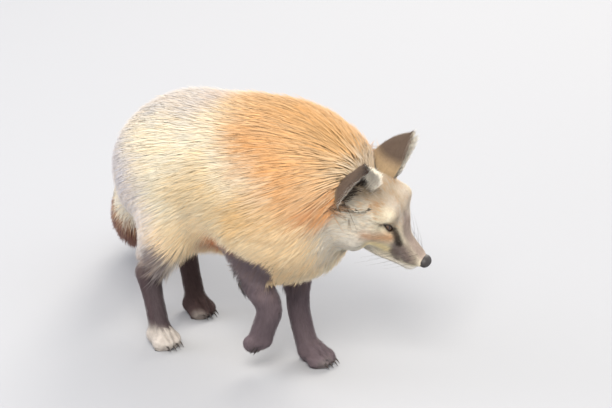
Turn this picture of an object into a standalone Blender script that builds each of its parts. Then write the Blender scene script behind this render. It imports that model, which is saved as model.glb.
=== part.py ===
"""A red fox in its winter coat, walking, at life size, as still solids out to the tips of the coat.

Metres, +Z up. The fox faces +X, its left side is +Y, and it stands on the floor at Z = 0 on three
paws, with its right forepaw lifted. The head is lowered and turned a little to the left.
The bare forms are lofted along the neck, trunk, legs and tail, fused into one surface, and then
parted with thin cuts where the parts of the body are named.
"""

import math

import bmesh
import bpy
from mathutils import Matrix, Vector

GAP = 0.0003  # left between two pieces that touch

# ---------------------------------------------------------------- driving sizes
BACK_HEIGHT = 0.404  # top of the coat over the withers
BELLY_HEIGHT = 0.146  # the coat's lower edge
TRUNK_HALF_WIDTH = 0.106
HOCK_HEIGHT = 0.105

# Where the paws stand, and the wrist and hang of the lifted one. Soles are cut flat at the floor.
SOLE_SINK = 0.0015
RIGHT_HIND_PAW = Vector((0.041, -0.071, -SOLE_SINK))
LEFT_HIND_PAW = Vector((0.006, 0.046, -SOLE_SINK))
LEFT_FORE_PAW = Vector((0.250, 0.029, -SOLE_SINK))
LIFTED_WRIST = Vector((0.2353, -0.050, 0.106))
LIFTED_DROOP = math.radians(110)  # how far the lifted paw hangs below the level
FORE_TOES_REACH = 0.023
HIND_TOES_REACH = 0.018

# Heights of the cuts across the legs.
PAW_TOP = 0.034
SHANK_TOP = 0.130
LIFTED_FOREARM_TOP = 0.145
TAIL_RADIUS = 0.053

# Where the nose pad is, and how the head is held: turned to the left, lowered, left side raised.
NOSE_AT = Vector((0.420, 0.077, 0.190))
HEAD_TURN = math.radians(24.6)
HEAD_DROP = math.radians(37.2)
HEAD_ROLL = math.radians(15.2)

VOXEL = 0.003
TRIANGLES = 3000  # of the fused body, before it is parted


def clear_scene():
    for obj in list(bpy.data.objects):
        bpy.data.objects.remove(obj)


# ---------------------------------------------------------------- finishes, as linear colours
FINISHES = {
    "fur_golden": ((0.78, 0.50, 0.22), 0.80),
    "fur_pale": ((0.82, 0.70, 0.50), 0.80),
    "fur_dark": ((0.07, 0.05, 0.045), 0.75),
    "fur_tail": ((0.55, 0.27, 0.11), 0.80),
    "fur_white": ((0.85, 0.80, 0.72), 0.80),
    "eye": ((0.35, 0.17, 0.04), 0.08),
    "nose_skin": ((0.03, 0.03, 0.04), 0.40),
}
FINISH_OF = {  # by the start of a piece's name; a piece not named here is golden
    "head": "fur_pale",
    "muzzle": "fur_pale",
    "lower_jaw": "fur_white",
    "neck": "fur_golden",
    "ear_": "fur_dark",
    "eye_": "eye",
    "nose": "nose_skin",
    "shank_": "fur_dark",
    "forearm_": "fur_dark",
    "forepaw_": "fur_dark",
    "hindpaw_": "fur_dark",
    "tail_tip": "fur_white",
    "tail_": "fur_tail",
}


def give_finishes():
    """One Principled material for each finish, never metallic."""
    materials = {}
    for name, (colour, roughness) in FINISHES.items():
        material = bpy.data.materials.new(name)
        material.use_nodes = True
        shader = material.node_tree.nodes["Principled BSDF"]
        shader.inputs["Base Color"].default_value = (*colour, 1.0)
        shader.inputs["Roughness"].default_value = roughness
        shader.inputs["Metallic"].default_value = 0.0
        materials[name] = material
    for obj in bpy.context.scene.objects:
        fitting = [finish for start, finish in FINISH_OF.items() if obj.name.startswith(start)]
        obj.data.materials.clear()
        obj.data.materials.append(materials[fitting[0] if fitting else "fur_golden"])


def centre_on_origin():
    """Moves every piece so that the origin is on the floor, under the middle of the whole box."""
    pieces = list(bpy.context.scene.objects)
    points = [vert.co for obj in pieces for vert in obj.data.vertices]
    middle = [(min(p[i] for p in points) + max(p[i] for p in points)) / 2 for i in (0, 1)]
    for obj in pieces:
        obj.data.transform(Matrix.Translation((-middle[0], -middle[1], 0)))


def new_object(name, mesh):
    obj = bpy.data.objects.new(name, mesh)
    bpy.context.scene.collection.objects.link(obj)
    return obj


def object_of(name, shape):
    """The bmesh as an object, with its normals pointing out."""
    bmesh.ops.recalc_face_normals(shape, faces=shape.faces)
    mesh = bpy.data.meshes.new(name)
    shape.to_mesh(mesh)
    shape.free()
    return new_object(name, mesh)


# ---------------------------------------------------------------- making forms
def along(stations, share):
    """A Catmull-Rom blend of the stations, each a tuple of numbers, at share 0 to 1 of the way."""
    spans = len(stations) - 1
    place = min(share * spans, spans - 1e-9)
    i = int(place)
    t = place - i
    before, a, b, after = (
        stations[max(i - 1, 0)],
        stations[i],
        stations[i + 1],
        stations[min(i + 2, spans)],
    )
    return [
        0.5 * (2 * q + (r - p) * t + (2 * p - 5 * q + 4 * r - s) * t * t
               + (3 * q - p - 3 * r + s) * t ** 3)
        for p, q, r, s in zip(before, a, b, after)
    ]


def loft(name, stations, sides=24, steps=5, sideways=Vector((0, 1, 0))):
    """A closed form through stations (x, y, z, half width, height above, depth below).

    Rings stand square to the path. Their width runs along sideways, as far as the path allows.
    """
    rings = (len(stations) - 1) * steps
    places = [along(stations, k / rings) for k in range(rings + 1)]
    centres = [Vector(place[:3]) for place in places]
    shape = bmesh.new()
    loops = []
    for k, place in enumerate(places):
        ahead = centres[min(k + 1, rings)] - centres[max(k - 1, 0)]
        ahead.normalize()
        side = (sideways - ahead * sideways.dot(ahead)).normalized()
        over = ahead.cross(side)
        if over.z < 0 and abs(ahead.z) < 0.9:
            over = -over
        half_width, above, below = (max(size, 0.0015) for size in place[3:6])
        ring = []
        for n in range(sides):
            angle = 2 * math.pi * n / sides
            height = above if math.sin(angle) > 0 else below
            point = centres[k] + side * half_width * math.cos(angle) + over * height * math.sin(angle)
            ring.append(shape.verts.new(point))
        loops.append([shape.edges.new((ring[n], ring[(n + 1) % sides])) for n in range(sides)])
    for first, second in zip(loops, loops[1:]):
        bmesh.ops.bridge_loops(shape, edges=first + second)
    bmesh.ops.holes_fill(shape, edges=loops[0] + loops[-1])
    return object_of(name, shape)


def ball(name, centre, radii, turn=None, fineness=3):
    """An ellipsoid with its centre and three radii, turned by a matrix."""
    shape = bmesh.new()
    matrix = Matrix.Translation(centre) @ (turn or Matrix.Identity(4)) @ Matrix.Diagonal((*radii, 1))
    bmesh.ops.create_icosphere(shape, subdivisions=fineness, radius=1.0, matrix=matrix)
    return object_of(name, shape)


def evaluated_copy(obj):
    """The object's mesh with its modifiers applied."""
    graph = bpy.context.evaluated_depsgraph_get()
    return bpy.data.meshes.new_from_object(obj.evaluated_get(graph))


def settle(obj):
    """Applies the object's modifiers to its mesh."""
    bpy.context.view_layer.update()
    mesh = evaluated_copy(obj)
    obj.modifiers.clear()
    obj.data = mesh


def fuse(name, forms, voxel, triangles, smoothing=6):
    """One smooth closed surface round all the forms, with about that many triangles."""
    shape = bmesh.new()
    for form in forms:
        shape.from_mesh(form.data)
    mesh = bpy.data.meshes.new(name)
    shape.to_mesh(mesh)
    shape.free()
    whole = new_object(name, mesh)
    remesh = whole.modifiers.new("one surface", "REMESH")
    remesh.mode = "VOXEL"
    remesh.voxel_size = voxel
    smooth = whole.modifiers.new("blended joins", "SMOOTH")
    smooth.factor = 0.5
    smooth.iterations = smoothing
    settle(whole)
    thinner = whole.modifiers.new("fewer facets", "DECIMATE")
    thinner.ratio = triangles / (2 * len(whole.data.polygons))
    settle(whole)
    return whole


def boolean(obj, cutter, operation):
    cut = obj.modifiers.new(operation.lower(), "BOOLEAN")
    cut.operation = operation
    cut.object = cutter
    cut.solver = "EXACT"
    settle(obj)


def drop(*objects):
    for obj in objects:
        bpy.data.objects.remove(obj)


def largest_body(obj):
    """Drops the slivers that a cut leaves beside the piece itself."""
    shape = bmesh.new()
    shape.from_mesh(obj.data)
    bmesh.ops.remove_doubles(shape, verts=shape.verts, dist=0.00002)
    bmesh.ops.dissolve_degenerate(shape, edges=shape.edges, dist=0.00002)
    left = set(shape.verts)
    bodies = []
    while left:
        front = [left.pop()]
        body = set(front)
        while front:
            here = front.pop()
            near = {edge.other_vert(here) for edge in here.link_edges}
            fresh = near & left
            left -= fresh
            body |= fresh
            front.extend(fresh)
        bodies.append(body)
    bodies.sort(key=len)
    for body in bodies[:-1]:
        bmesh.ops.delete(shape, geom=[vert for vert in shape.verts if vert in body], context="VERTS")
    bmesh.ops.triangulate(shape, faces=shape.faces)
    shape.to_mesh(obj.data)
    shape.free()


def part_off(whole, name, cell, grown):
    """Takes what lies in the cell out of the whole, as its own object, and leaves a thin gap."""
    piece = new_object(name, whole.data.copy())
    boolean(piece, cell, "INTERSECT")
    boolean(whole, grown, "DIFFERENCE")
    drop(cell, grown)
    largest_body(piece)
    largest_body(whole)
    return piece


def box_form(name, low, high, frame):
    shape = bmesh.new()
    size = Vector(high) - Vector(low)
    middle = (Vector(high) + Vector(low)) / 2
    place = frame @ Matrix.Translation(middle) @ Matrix.Diagonal((*size, 1))
    bmesh.ops.create_cube(shape, size=1.0, matrix=place)
    return object_of(name, shape)


def part_off_box(whole, name, low, high, frame=Matrix.Identity(4)):
    low, high, more = Vector(low), Vector(high), Vector((GAP, GAP, GAP))
    cell = box_form("cell", low, high, frame)
    return part_off(whole, name, cell, box_form("grown", low - more, high + more, frame))


def part_off_ball(whole, name, centre, radii, turn=None):
    cell = ball("cell", centre, radii, turn, fineness=2)
    return part_off(whole, name, cell, ball("grown", centre, [r + GAP for r in radii], turn, fineness=2))


REACH = 0.6  # of a cutting block, more than the body's length


def part_off_ahead(whole, name, point, towards, breadth=REACH):
    """Parts off all that lies ahead of the plane through the point, square to the direction."""
    turn = Vector(towards).to_track_quat("Z", "Y").to_matrix().to_4x4()
    frame = Matrix.Translation(point) @ turn
    return part_off_box(whole, name, (-breadth, -breadth, 0), (breadth, breadth, REACH), frame)


# ---------------------------------------------------------------- trunk, neck and tail
def trunk_form():
    """Stations (x, top of the coat, bottom of the coat, half width) from the rump to the breast."""
    outline = (
        (-0.079, 0.236, 0.205, 0.015),
        (-0.069, 0.272, 0.180, 0.048),
        (-0.042, BACK_HEIGHT - 0.088, 0.160, 0.080),
        (-0.004, BACK_HEIGHT - 0.051, 0.150, TRUNK_HALF_WIDTH - 0.007),
        (0.045, BACK_HEIGHT - 0.024, BELLY_HEIGHT + 0.004, TRUNK_HALF_WIDTH - 0.001),
        (0.105, BACK_HEIGHT - 0.012, BELLY_HEIGHT + 0.014, TRUNK_HALF_WIDTH - 0.004),
        (0.165, BACK_HEIGHT - 0.002, BELLY_HEIGHT + 0.004, TRUNK_HALF_WIDTH - 0.001),
        (0.220, BACK_HEIGHT + 0.006, BELLY_HEIGHT - 0.008, TRUNK_HALF_WIDTH + 0.002),
        (0.270, BACK_HEIGHT - 0.002, BELLY_HEIGHT - 0.008, TRUNK_HALF_WIDTH - 0.003),
        (0.312, BACK_HEIGHT - 0.035, BELLY_HEIGHT + 0.008, 0.084),
        (0.334, BACK_HEIGHT - 0.080, BELLY_HEIGHT + 0.040, 0.052),
    )
    stations = []
    for x, top, bottom, half_width in outline:
        middle = bottom + 0.47 * (top - bottom)
        stations.append((x, 0, middle, half_width, top - middle, middle - bottom))
    return loft("trunk form", stations, sides=32)


def neck_form():
    return loft(
        "neck form",
        (
            (0.200, 0.000, 0.292, 0.080, 0.090, 0.110),
            (0.245, 0.004, 0.296, 0.097, 0.106, 0.132),
            (0.282, 0.013, 0.294, 0.094, 0.100, 0.128),
            (0.312, 0.027, 0.288, 0.080, 0.084, 0.112),
            (0.336, 0.042, 0.278, 0.058, 0.060, 0.086),
        ),
        sides=28,
    )


TAIL_PATH = (  # centre line from the rump to the white tip
    (-0.028, 0.000, 0.270),
    (-0.070, 0.012, 0.228),
    (-0.110, 0.042, 0.156),
    (-0.148, 0.094, 0.108),
    (-0.180, 0.142, 0.086),
    (-0.212, 0.183, 0.080),
    (-0.237, 0.214, 0.080),
    (-0.249, 0.229, 0.081),
)
TAIL_SHARES = (0.55, 0.66, 0.84, 1.0, 1.0, 0.88, 0.54, 0.14)  # of the tail's full radius


def tail_form():
    stations = [
        (*place, TAIL_RADIUS * share, TAIL_RADIUS * share, TAIL_RADIUS * share)
        for place, share in zip(TAIL_PATH, TAIL_SHARES)
    ]
    return loft("tail form", stations, sides=24, sideways=Vector((0.6, 0.8, 0)))


# ---------------------------------------------------------------- legs and paws
def leg_form(name, joints):
    """A leg through (x, y, z, radius side to side, radius front to back) from the top down."""
    stations = [(x, y, z, side, fore, fore) for x, y, z, side, fore in joints]
    return loft(name, stations, sides=20)


def paw_forms(name, at, turn=None, toes_reach=FORE_TOES_REACH):
    """A pad block and four toes, in the paw's own frame with +X to the toe tips and Z = 0 the floor."""
    frame = Matrix.Translation(at) @ (turn or Matrix.Identity(4))
    forms = []
    spin = (turn or Matrix.Identity(4)).to_3x3().to_4x4()

    def lump(centre, radii):
        forms.append(ball(name + " lump", frame @ Vector(centre), radii, spin))

    lump((-0.006, 0, 0.016), (0.024, 0.0185, 0.0175))
    lump((0.004, 0, 0.022), (0.020, 0.0165, 0.0165))
    for side in (-1, 1):
        lump((toes_reach, side * 0.0078, 0.0125), (0.0145, 0.0082, 0.0130))
        lump((toes_reach - 0.009, side * 0.0180, 0.0115), (0.0145, 0.0080, 0.0120))
    return forms


def hind_leg_forms(name, paw):
    """A standing hind leg over the place of its paw."""
    x, y = paw.x - 0.012, paw.y
    inward = 0.012 if y < 0 else -0.012
    leg = leg_form(
        name,
        (
            (x + 0.006, y + 1.4 * inward, 0.262, 0.050, 0.066),
            (x + 0.026, y + 0.6 * inward, 0.208, 0.044, 0.060),
            (x + 0.014, y, 0.165, 0.033, 0.043),
            (x - 0.006, y, 0.132, 0.0220, 0.0260),
            (x - 0.010, y, HOCK_HEIGHT, 0.0175, 0.0215),
            (x - 0.004, y, 0.076, 0.0155, 0.0175),
            (x + 0.004, y, 0.046, 0.0155, 0.0165),
            (x + 0.008, y, 0.022, 0.0155, 0.0165),
        ),
    )
    return [leg, *paw_forms(name, paw, toes_reach=HIND_TOES_REACH)]


def planted_foreleg_forms(name, paw):
    x, y = paw.x, paw.y
    leg = leg_form(
        name,
        (
            (x - 0.004, y + 0.026, 0.250, 0.044, 0.062),
            (x - 0.038, y + 0.028, 0.200, 0.036, 0.046),
            (x - 0.042, y + 0.021, 0.160, 0.0240, 0.0300),
            (x - 0.040, y + 0.013, 0.120, 0.0185, 0.0200),
            (x - 0.035, y + 0.007, 0.080, 0.0175, 0.0185),
            (x - 0.024, y + 0.004, 0.046, 0.0170, 0.0180),
            (x - 0.010, y, 0.022, 0.0165, 0.0180),
        ),
    )
    return [leg, *paw_forms(name, paw)]


def lifted_frame():
    """Where the lifted paw hangs: +X down along the toes, +Z out of the back of the paw."""
    return Matrix.Translation(LIFTED_WRIST) @ Matrix.Rotation(LIFTED_DROOP, 4, "Y")


def lifted_foreleg_forms(name):
    wrist = LIFTED_WRIST
    hang = Matrix.Rotation(LIFTED_DROOP, 4, "Y")
    down = hang.to_3x3() @ Vector((1, 0, 0))
    leg = leg_form(
        name,
        (
            (0.250, -0.054, 0.255, 0.044, 0.060),
            (0.205, -0.060, 0.215, 0.038, 0.048),
            (0.198, -0.058, 0.180, 0.0290, 0.0360),
            (0.210, -0.054, 0.150, 0.0220, 0.0270),
            (0.224, -0.051, 0.126, 0.0190, 0.0220),
            (*wrist, 0.0180, 0.0200),
            (*(wrist + down * 0.020), 0.0175, 0.0190),
            (*(wrist + down * 0.042), 0.0175, 0.0185),
        ),
    )
    knuckles = lifted_frame() @ Vector((0.046, 0, -0.018))
    return [leg, *paw_forms(name, knuckles, hang)]


# ---------------------------------------------------------------- head
def head_frame():
    """The head's own frame: +X to the nose, +Y to the left, +Z to the crown, origin at the nose pad."""
    turn = (
        Matrix.Rotation(HEAD_TURN, 4, "Z")
        @ Matrix.Rotation(HEAD_DROP, 4, "Y")
        @ Matrix.Rotation(HEAD_ROLL, 4, "X")
    )
    return Matrix.Translation(NOSE_AT) @ turn


def placed(obj, frame):
    obj.data.transform(frame)
    return obj


def skull_forms(frame):
    """Muzzle, cheeks, crown and lower jaw, with the cheek ruff, in the head's own frame."""
    skull = loft(
        "skull form",
        (  # x, y, z, half width, above, below
            (0.002, 0, -0.005, 0.0095, 0.0080, 0.0085),
            (-0.010, 0, -0.005, 0.0142, 0.0125, 0.0135),
            (-0.030, 0, -0.006, 0.0190, 0.0178, 0.0205),
            (-0.048, 0, -0.005, 0.0238, 0.0230, 0.0265),
            (-0.064, 0, -0.001, 0.0320, 0.0320, 0.0315),
            (-0.080, 0, 0.003, 0.0440, 0.0430, 0.0380),
            (-0.098, 0, 0.005, 0.0570, 0.0510, 0.0450),
            (-0.120, 0, 0.004, 0.0660, 0.0555, 0.0510),
            (-0.142, 0, 0.000, 0.0680, 0.0570, 0.0560),
            (-0.165, 0, -0.006, 0.0620, 0.0530, 0.0560),
            (-0.185, 0, -0.010, 0.0500, 0.0400, 0.0480),
        ),
        sides=28,
    )
    jaw = loft(
        "jaw form",
        (
            (-0.009, 0, -0.019, 0.0075, 0.0045, 0.0060),
            (-0.022, 0, -0.024, 0.0115, 0.0065, 0.0085),
            (-0.046, 0, -0.029, 0.0170, 0.0085, 0.0115),
            (-0.070, 0, -0.034, 0.0230, 0.0105, 0.0140),
            (-0.095, 0, -0.031, 0.0290, 0.0125, 0.0180),
        ),
        sides=20,
    )
    forms = [placed(skull, frame), placed(jaw, frame)]
    spin = frame.to_3x3().to_4x4()
    for side in (-1, 1):
        brow = frame @ Vector((-0.096, side * 0.0240, 0.0370))
        forms.append(ball("brow form", brow, (0.021, 0.018, 0.0140), spin))
        cheek = frame @ Vector((-0.130, side * 0.0440, -0.0150))
        forms.append(ball("cheek form", cheek, (0.048, 0.028, 0.036), spin))
        ear_root = frame @ Vector((-0.134, side * 0.0400, 0.0380))
        forms.append(ball("ear root form", ear_root, (0.026, 0.024, 0.020), spin))
    return forms


EAR_HEIGHT = 0.092
EAR_HALF_WIDTH = 0.034
EAR_WALL = 0.0080
EAR_SUNK = 0.012  # how deep an ear's root sits in the head
EARS = {  # root in the head's frame, its cup's depth at root and tip, degrees of lean back, lean out, turn out
    "ear_right": (Vector((-0.139, -0.047, 0.043)), (0.042, 0.036), (12, 14, 20)),
    "ear_left": (Vector((-0.137, 0.042, 0.041)), (0.030, 0.012), (4, 4, 40)),
}
EAR_HOLLOW_AT = Vector((0.014, 0, 0.028))  # in the ear's own frame
EAR_HOLLOW_RADII = (0.026, 0.024, 0.034)


def ear_pose(root, lean_back, lean_out, open_turn):
    """Where an ear stands on the head. Its opening is turned outwards by open_turn."""
    side = math.copysign(1, root.y)
    return (
        Matrix.Translation(root)
        @ Matrix.Rotation(-side * lean_out, 4, "X")
        @ Matrix.Rotation(-lean_back, 4, "Y")
        @ Matrix.Rotation(side * open_turn, 4, "Z")
    )


def ear_form(name, frame, cup_depths):
    """A cupped leaf with a rounded tip, standing along the frame's Z and open to its X."""
    rows, columns = 9, 6
    shape = bmesh.new()
    skins = []
    for outer in (0, 1):
        grid = []
        for r in range(rows + 1):
            t = r / rows
            half = EAR_HALF_WIDTH * (1 - t ** 2.6) ** 0.80 * (0.88 + 0.12 * math.cos(math.pi * (t - 0.25)))
            half = max(half, 0.0030)
            cup = cup_depths[0] + t * (cup_depths[1] - cup_depths[0])
            wall = EAR_WALL * (1 - 0.45 * t)
            widest = 1.35 - 0.50 * t
            row = []
            for c in range(columns + 1):
                u = 2 * c / columns - 1
                across = half * math.sin(u * widest) / math.sin(widest)
                depth = -cup * math.cos(u * widest) - outer * wall * (1 - 0.4 * u * u)
                up = t * EAR_HEIGHT - EAR_SUNK
                row.append(shape.verts.new((depth + 0.014 + 0.008 * t, across, up)))
            grid.append(row)
        skins.append(grid)
    for grid in skins:
        for r in range(rows):
            for c in range(columns):
                shape.faces.new((grid[r][c], grid[r][c + 1], grid[r + 1][c + 1], grid[r + 1][c]))
    inner, outer = skins
    rim = [
        *[(r, 0) for r in range(rows + 1)],
        *[(rows, c) for c in range(1, columns + 1)],
        *[(r, columns) for r in range(rows - 1, -1, -1)],
        *[(0, c) for c in range(columns - 1, 0, -1)],
    ]
    for (r0, c0), (r1, c1) in zip(rim, rim[1:] + rim[:1]):
        shape.faces.new((inner[r0][c0], inner[r1][c1], outer[r1][c1], outer[r0][c0]))
    bmesh.ops.triangulate(shape, faces=shape.faces)
    return placed(object_of(name, shape), frame)


def slot_of(obj):
    """The object grown by the gap on every side, to cut the slot that it stands in."""
    shape = bmesh.new()
    shape.from_mesh(obj.data)
    shape.normal_update()
    moves = [(vert, vert.normal * GAP * vert.calc_shell_factor()) for vert in shape.verts]
    for vert, move in moves:
        vert.co += move
    return object_of("slot", shape)


EYE_RADIUS = 0.0095
LIDS_AT = Vector((-0.0755, 0.0275, 0.0262))  # the middle of the eye's opening, left side
GAZE = Vector((0.62, 0.62, 0.48)).normalized()
LIDS_ALONG = Vector((-0.69, 0.55, 0.48))  # from the inner corner to the outer
ORBIT_RADII = (0.0130, 0.0080, 0.0085)  # the hollow in the coat round the eye
EYE_FINENESS = 2
NOSE_RADII = (0.0110, 0.0120, 0.0100)
MOUTH_CORNER = Vector((-0.062, 0, -0.0235))
MOUTH_SLOPE = math.radians(10)


def part_head(whole, frame):
    """Parts the eyes, nose, ears, jaw, muzzle and head off the body."""
    spin = frame.to_3x3().to_4x4()
    for side, name in ((-1, "right"), (1, "left")):
        mirror = Matrix.Diagonal((1, side, 1, 1))
        across = GAZE.cross(LIDS_ALONG).normalized()
        axes = Matrix((across.cross(GAZE), across, GAZE)).transposed().to_4x4()
        orbit = ball("orbit", LIDS_AT + GAZE * 0.0045, ORBIT_RADII, axes, fineness=2)
        orbit.data.transform(frame @ mirror)
        if side < 0:
            orbit.data.flip_normals()
        boolean(whole, orbit, "DIFFERENCE")
        drop(orbit)
        centre = frame @ mirror @ (LIDS_AT - GAZE * (EYE_RADIUS - 0.0015))
        socket = ball("socket", centre, (EYE_RADIUS + GAP,) * 3, fineness=EYE_FINENESS)
        boolean(whole, socket, "DIFFERENCE")
        drop(socket)
        ball("eye_" + name, centre, (EYE_RADIUS,) * 3, fineness=EYE_FINENESS)
    part_off_ball(whole, "nose", frame @ Vector((0.0015, 0, -0.0035)), NOSE_RADII, spin)
    for name, (root, cup_depths, lean) in EARS.items():
        ear_frame = frame @ ear_pose(root, *map(math.radians, lean))
        hollow = ball("hollow", EAR_HOLLOW_AT, EAR_HOLLOW_RADII, fineness=2)
        boolean(whole, placed(hollow, ear_frame), "DIFFERENCE")
        drop(hollow)
        ear = ear_form(name, ear_frame, cup_depths)
        slot = slot_of(ear)
        boolean(whole, slot, "DIFFERENCE")
        drop(slot)
    mouth = frame @ Matrix.Translation(MOUTH_CORNER) @ Matrix.Rotation(-MOUTH_SLOPE, 4, "Y")
    part_off_box(whole, "lower_jaw", (0.0, -0.04, -0.05), (0.09, 0.04, 0.0), mouth)
    part_off_box(whole, "muzzle", (-0.060, -0.05, -0.05), (0.03, 0.05, 0.06), frame)
    skull = frame @ Vector((-0.075, 0, 0.006))
    part_off_ball(whole, "head", skull, (0.100, 0.095, 0.072), spin)


def part_legs(whole):
    """The planted paws and the leg lengths over them, then the lifted leg, then the four upper lengths."""
    for paw_name, leg_name, paw in (
        ("hindpaw_right", "shank_right", RIGHT_HIND_PAW),
        ("hindpaw_left", "shank_left", LEFT_HIND_PAW),
        ("forepaw_left", "forearm_left", LEFT_FORE_PAW),
    ):
        at = Matrix.Translation((paw.x, paw.y, 0))
        part_off_box(whole, paw_name, (-0.07, -0.045, -0.01), (0.06, 0.045, PAW_TOP), at)
        part_off_box(whole, leg_name, (-0.09, -0.045, -0.01), (0.06, 0.050, SHANK_TOP), at)
    hang = lifted_frame()
    part_off_box(whole, "forepaw_right", (0.030, -0.05, -0.06), (0.10, 0.05, 0.04), hang)
    at = Matrix.Translation((LIFTED_WRIST.x, LIFTED_WRIST.y, 0))
    part_off_box(whole, "forearm_right", (-0.08, -0.045, -0.01), (0.05, 0.04, LIFTED_FOREARM_TOP), at)
    for name, centre, radii in (
        ("thigh_right", (0.020, -0.078, 0.190), (0.068, 0.038, 0.082)),
        ("thigh_left", (0.000, 0.070, 0.190), (0.066, 0.040, 0.082)),
        ("upper_arm_right", (0.212, -0.074, 0.196), (0.056, 0.036, 0.070)),
        ("upper_arm_left", (0.218, 0.072, 0.196), (0.056, 0.036, 0.080)),
    ):
        part_off_ball(whole, name, centre, radii)


def part_tail(whole):
    """Three lengths of the tail, from the white tip to the root."""
    for name, share in (("tail_tip", 0.76), ("tail_middle", 0.50), ("tail_base", 0.23)):
        here = Vector(along(TAIL_PATH, share))
        towards = Vector(along(TAIL_PATH, share + 0.05)) - here
        part_off_ahead(whole, name, here, towards, breadth=1.6 * TAIL_RADIUS)


def main():
    clear_scene()
    frame = head_frame()
    forms = [
        trunk_form(),
        neck_form(),
        tail_form(),
        *hind_leg_forms("right hind", RIGHT_HIND_PAW),
        *hind_leg_forms("left hind", LEFT_HIND_PAW),
        *planted_foreleg_forms("left fore", LEFT_FORE_PAW),
        *lifted_foreleg_forms("right fore"),
        *skull_forms(frame),
    ]
    body = fuse("rump", forms, VOXEL, TRIANGLES)
    drop(*forms)
    floor = box_form("floor", (-1, -1, -0.1), (1, 1, 0), Matrix.Identity(4))
    boolean(body, floor, "DIFFERENCE")
    drop(floor)
    part_head(body, frame)
    part_legs(body)
    part_tail(body)
    part_off_ahead(body, "neck", (0.262, 0, 0.300), (0.78, 0.20, 0.60))
    part_off_ahead(body, "chest", (0.170, 0, 0.25), (1, 0, 0))
    part_off_ahead(body, "loin", (0.050, 0, 0.25), (1, 0, 0))
    give_finishes()
    centre_on_origin()


main()
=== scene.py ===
"""A red fox in its thick winter coat, walking with its head lowered, as a life-size museum model.

One skin lies inside the solids by the depth of the coat. Over it lies the coat, as many thin tufts.
Metres, +Z up. The fox faces +X, its left is +Y, and its soles are on the floor at Z = 0.
"""

import math

import bmesh
import bpy
import numpy as np
from mathutils import Matrix, Vector
from mathutils.bvhtree import BVHTree
from mathutils.kdtree import KDTree


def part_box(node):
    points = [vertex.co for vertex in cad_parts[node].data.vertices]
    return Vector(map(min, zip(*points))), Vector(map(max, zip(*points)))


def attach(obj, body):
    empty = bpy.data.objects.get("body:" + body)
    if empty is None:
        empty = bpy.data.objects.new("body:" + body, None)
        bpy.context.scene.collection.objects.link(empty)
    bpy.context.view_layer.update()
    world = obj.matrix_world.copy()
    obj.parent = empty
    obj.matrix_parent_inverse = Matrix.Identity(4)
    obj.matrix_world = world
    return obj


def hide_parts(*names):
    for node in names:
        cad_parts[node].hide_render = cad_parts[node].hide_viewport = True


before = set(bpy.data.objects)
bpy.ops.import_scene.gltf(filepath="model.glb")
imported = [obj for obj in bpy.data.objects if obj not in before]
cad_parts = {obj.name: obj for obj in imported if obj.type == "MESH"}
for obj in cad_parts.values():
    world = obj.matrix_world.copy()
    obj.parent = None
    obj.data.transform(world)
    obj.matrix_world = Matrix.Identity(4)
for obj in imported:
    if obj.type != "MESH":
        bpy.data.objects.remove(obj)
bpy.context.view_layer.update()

# ---------------------------------------------------------------- skin
# The hide under the coat, in one piece from the nose to the tail. It is drawn round the solids of
# the flesh, evened out, and sunk by the depth of the coat: a millimetre or two on the muzzle and
# feet, and two fingers' breadth on the back, neck and tail.
FLESH = [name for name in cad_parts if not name.startswith("eye_")]
SKIN_VOXEL = 0.0036
OVERLAP = 0.0004  # each solid is grown by this, so that the thin gaps between them close


def middle(node):
    low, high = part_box(node)
    return (low + high) / 2


# The head's own frame: +X to the nose, +Y to the left, +Z to the crown, origin at the nose pad.
HEAD_TURN, HEAD_DROP, HEAD_ROLL = (math.radians(angle) for angle in (24.6, 37.2, 15.2))
EYE_AT = Vector((-0.0805, 0.0225, 0.0224))  # the middle of the left eyeball in that frame
head_turn = (
    Matrix.Rotation(HEAD_TURN, 3, "Z")
    @ Matrix.Rotation(HEAD_DROP, 3, "Y")
    @ Matrix.Rotation(HEAD_ROLL, 3, "X")
)
nose_at = (middle("eye_left") + middle("eye_right")) / 2 - head_turn @ Vector((EYE_AT.x, 0, EYE_AT.z))
HEAD_AXES = np.array(head_turn)


def in_head(points):
    return (points - np.array(nose_at)) @ HEAD_AXES


def from_head(points):
    return np.asarray(points) @ HEAD_AXES.T + np.array(nose_at)


# Each ear's own frame: +Z to its tip, +X out of its opening, origin at its root.
EARS = {  # root in the head's frame, sizes in metres, leans and turn in degrees
    "ear_right": dict(
        root=(-0.139, -0.047, 0.043), height=0.074, broad=0.0365, blunt=0.62, cup=(0.042, 0.036),
        lean_back=6, lean_out=14, turn_out=20, dark_from=0.20,
    ),
    "ear_left": dict(
        root=(-0.137, 0.042, 0.041), height=0.080, broad=0.0340, blunt=0.80, cup=(0.030, 0.012),
        lean_back=4, lean_out=4, turn_out=40, dark_from=0.27,
    ),
}
EAR_SUNK = 0.012  # how deep its root sits in the head
EAR_ROOT = 0.12  # its hidden root under that, as a share of its height
ear_frames = {}
for name, ear in EARS.items():
    side = math.copysign(1, ear["root"][1])
    turn = (
        head_turn
        @ Matrix.Rotation(-side * math.radians(ear["lean_out"]), 3, "X")
        @ Matrix.Rotation(-math.radians(ear["lean_back"]), 3, "Y")
        @ Matrix.Rotation(side * math.radians(ear["turn_out"]), 3, "Z")
    )
    ear_frames[name] = (np.array(turn), from_head(ear["root"]), side)


def in_ear(name, places):
    axes, root, side = ear_frames[name]
    return (places - root) @ axes


def up_ear(name, at):
    """How far up an ear a place in its frame is, from 0 at its sunk root to 1 at its tip."""
    return (at[:, 2] + EAR_SUNK) / (EARS[name]["height"] + EAR_SUNK)


def ramp(values, low, high):
    """0 below low, 1 above high, and smooth between them."""
    t = np.clip((np.asarray(values, float) - low) / (high - low), 0, 1)
    return t * t * (3 - 2 * t)


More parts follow.
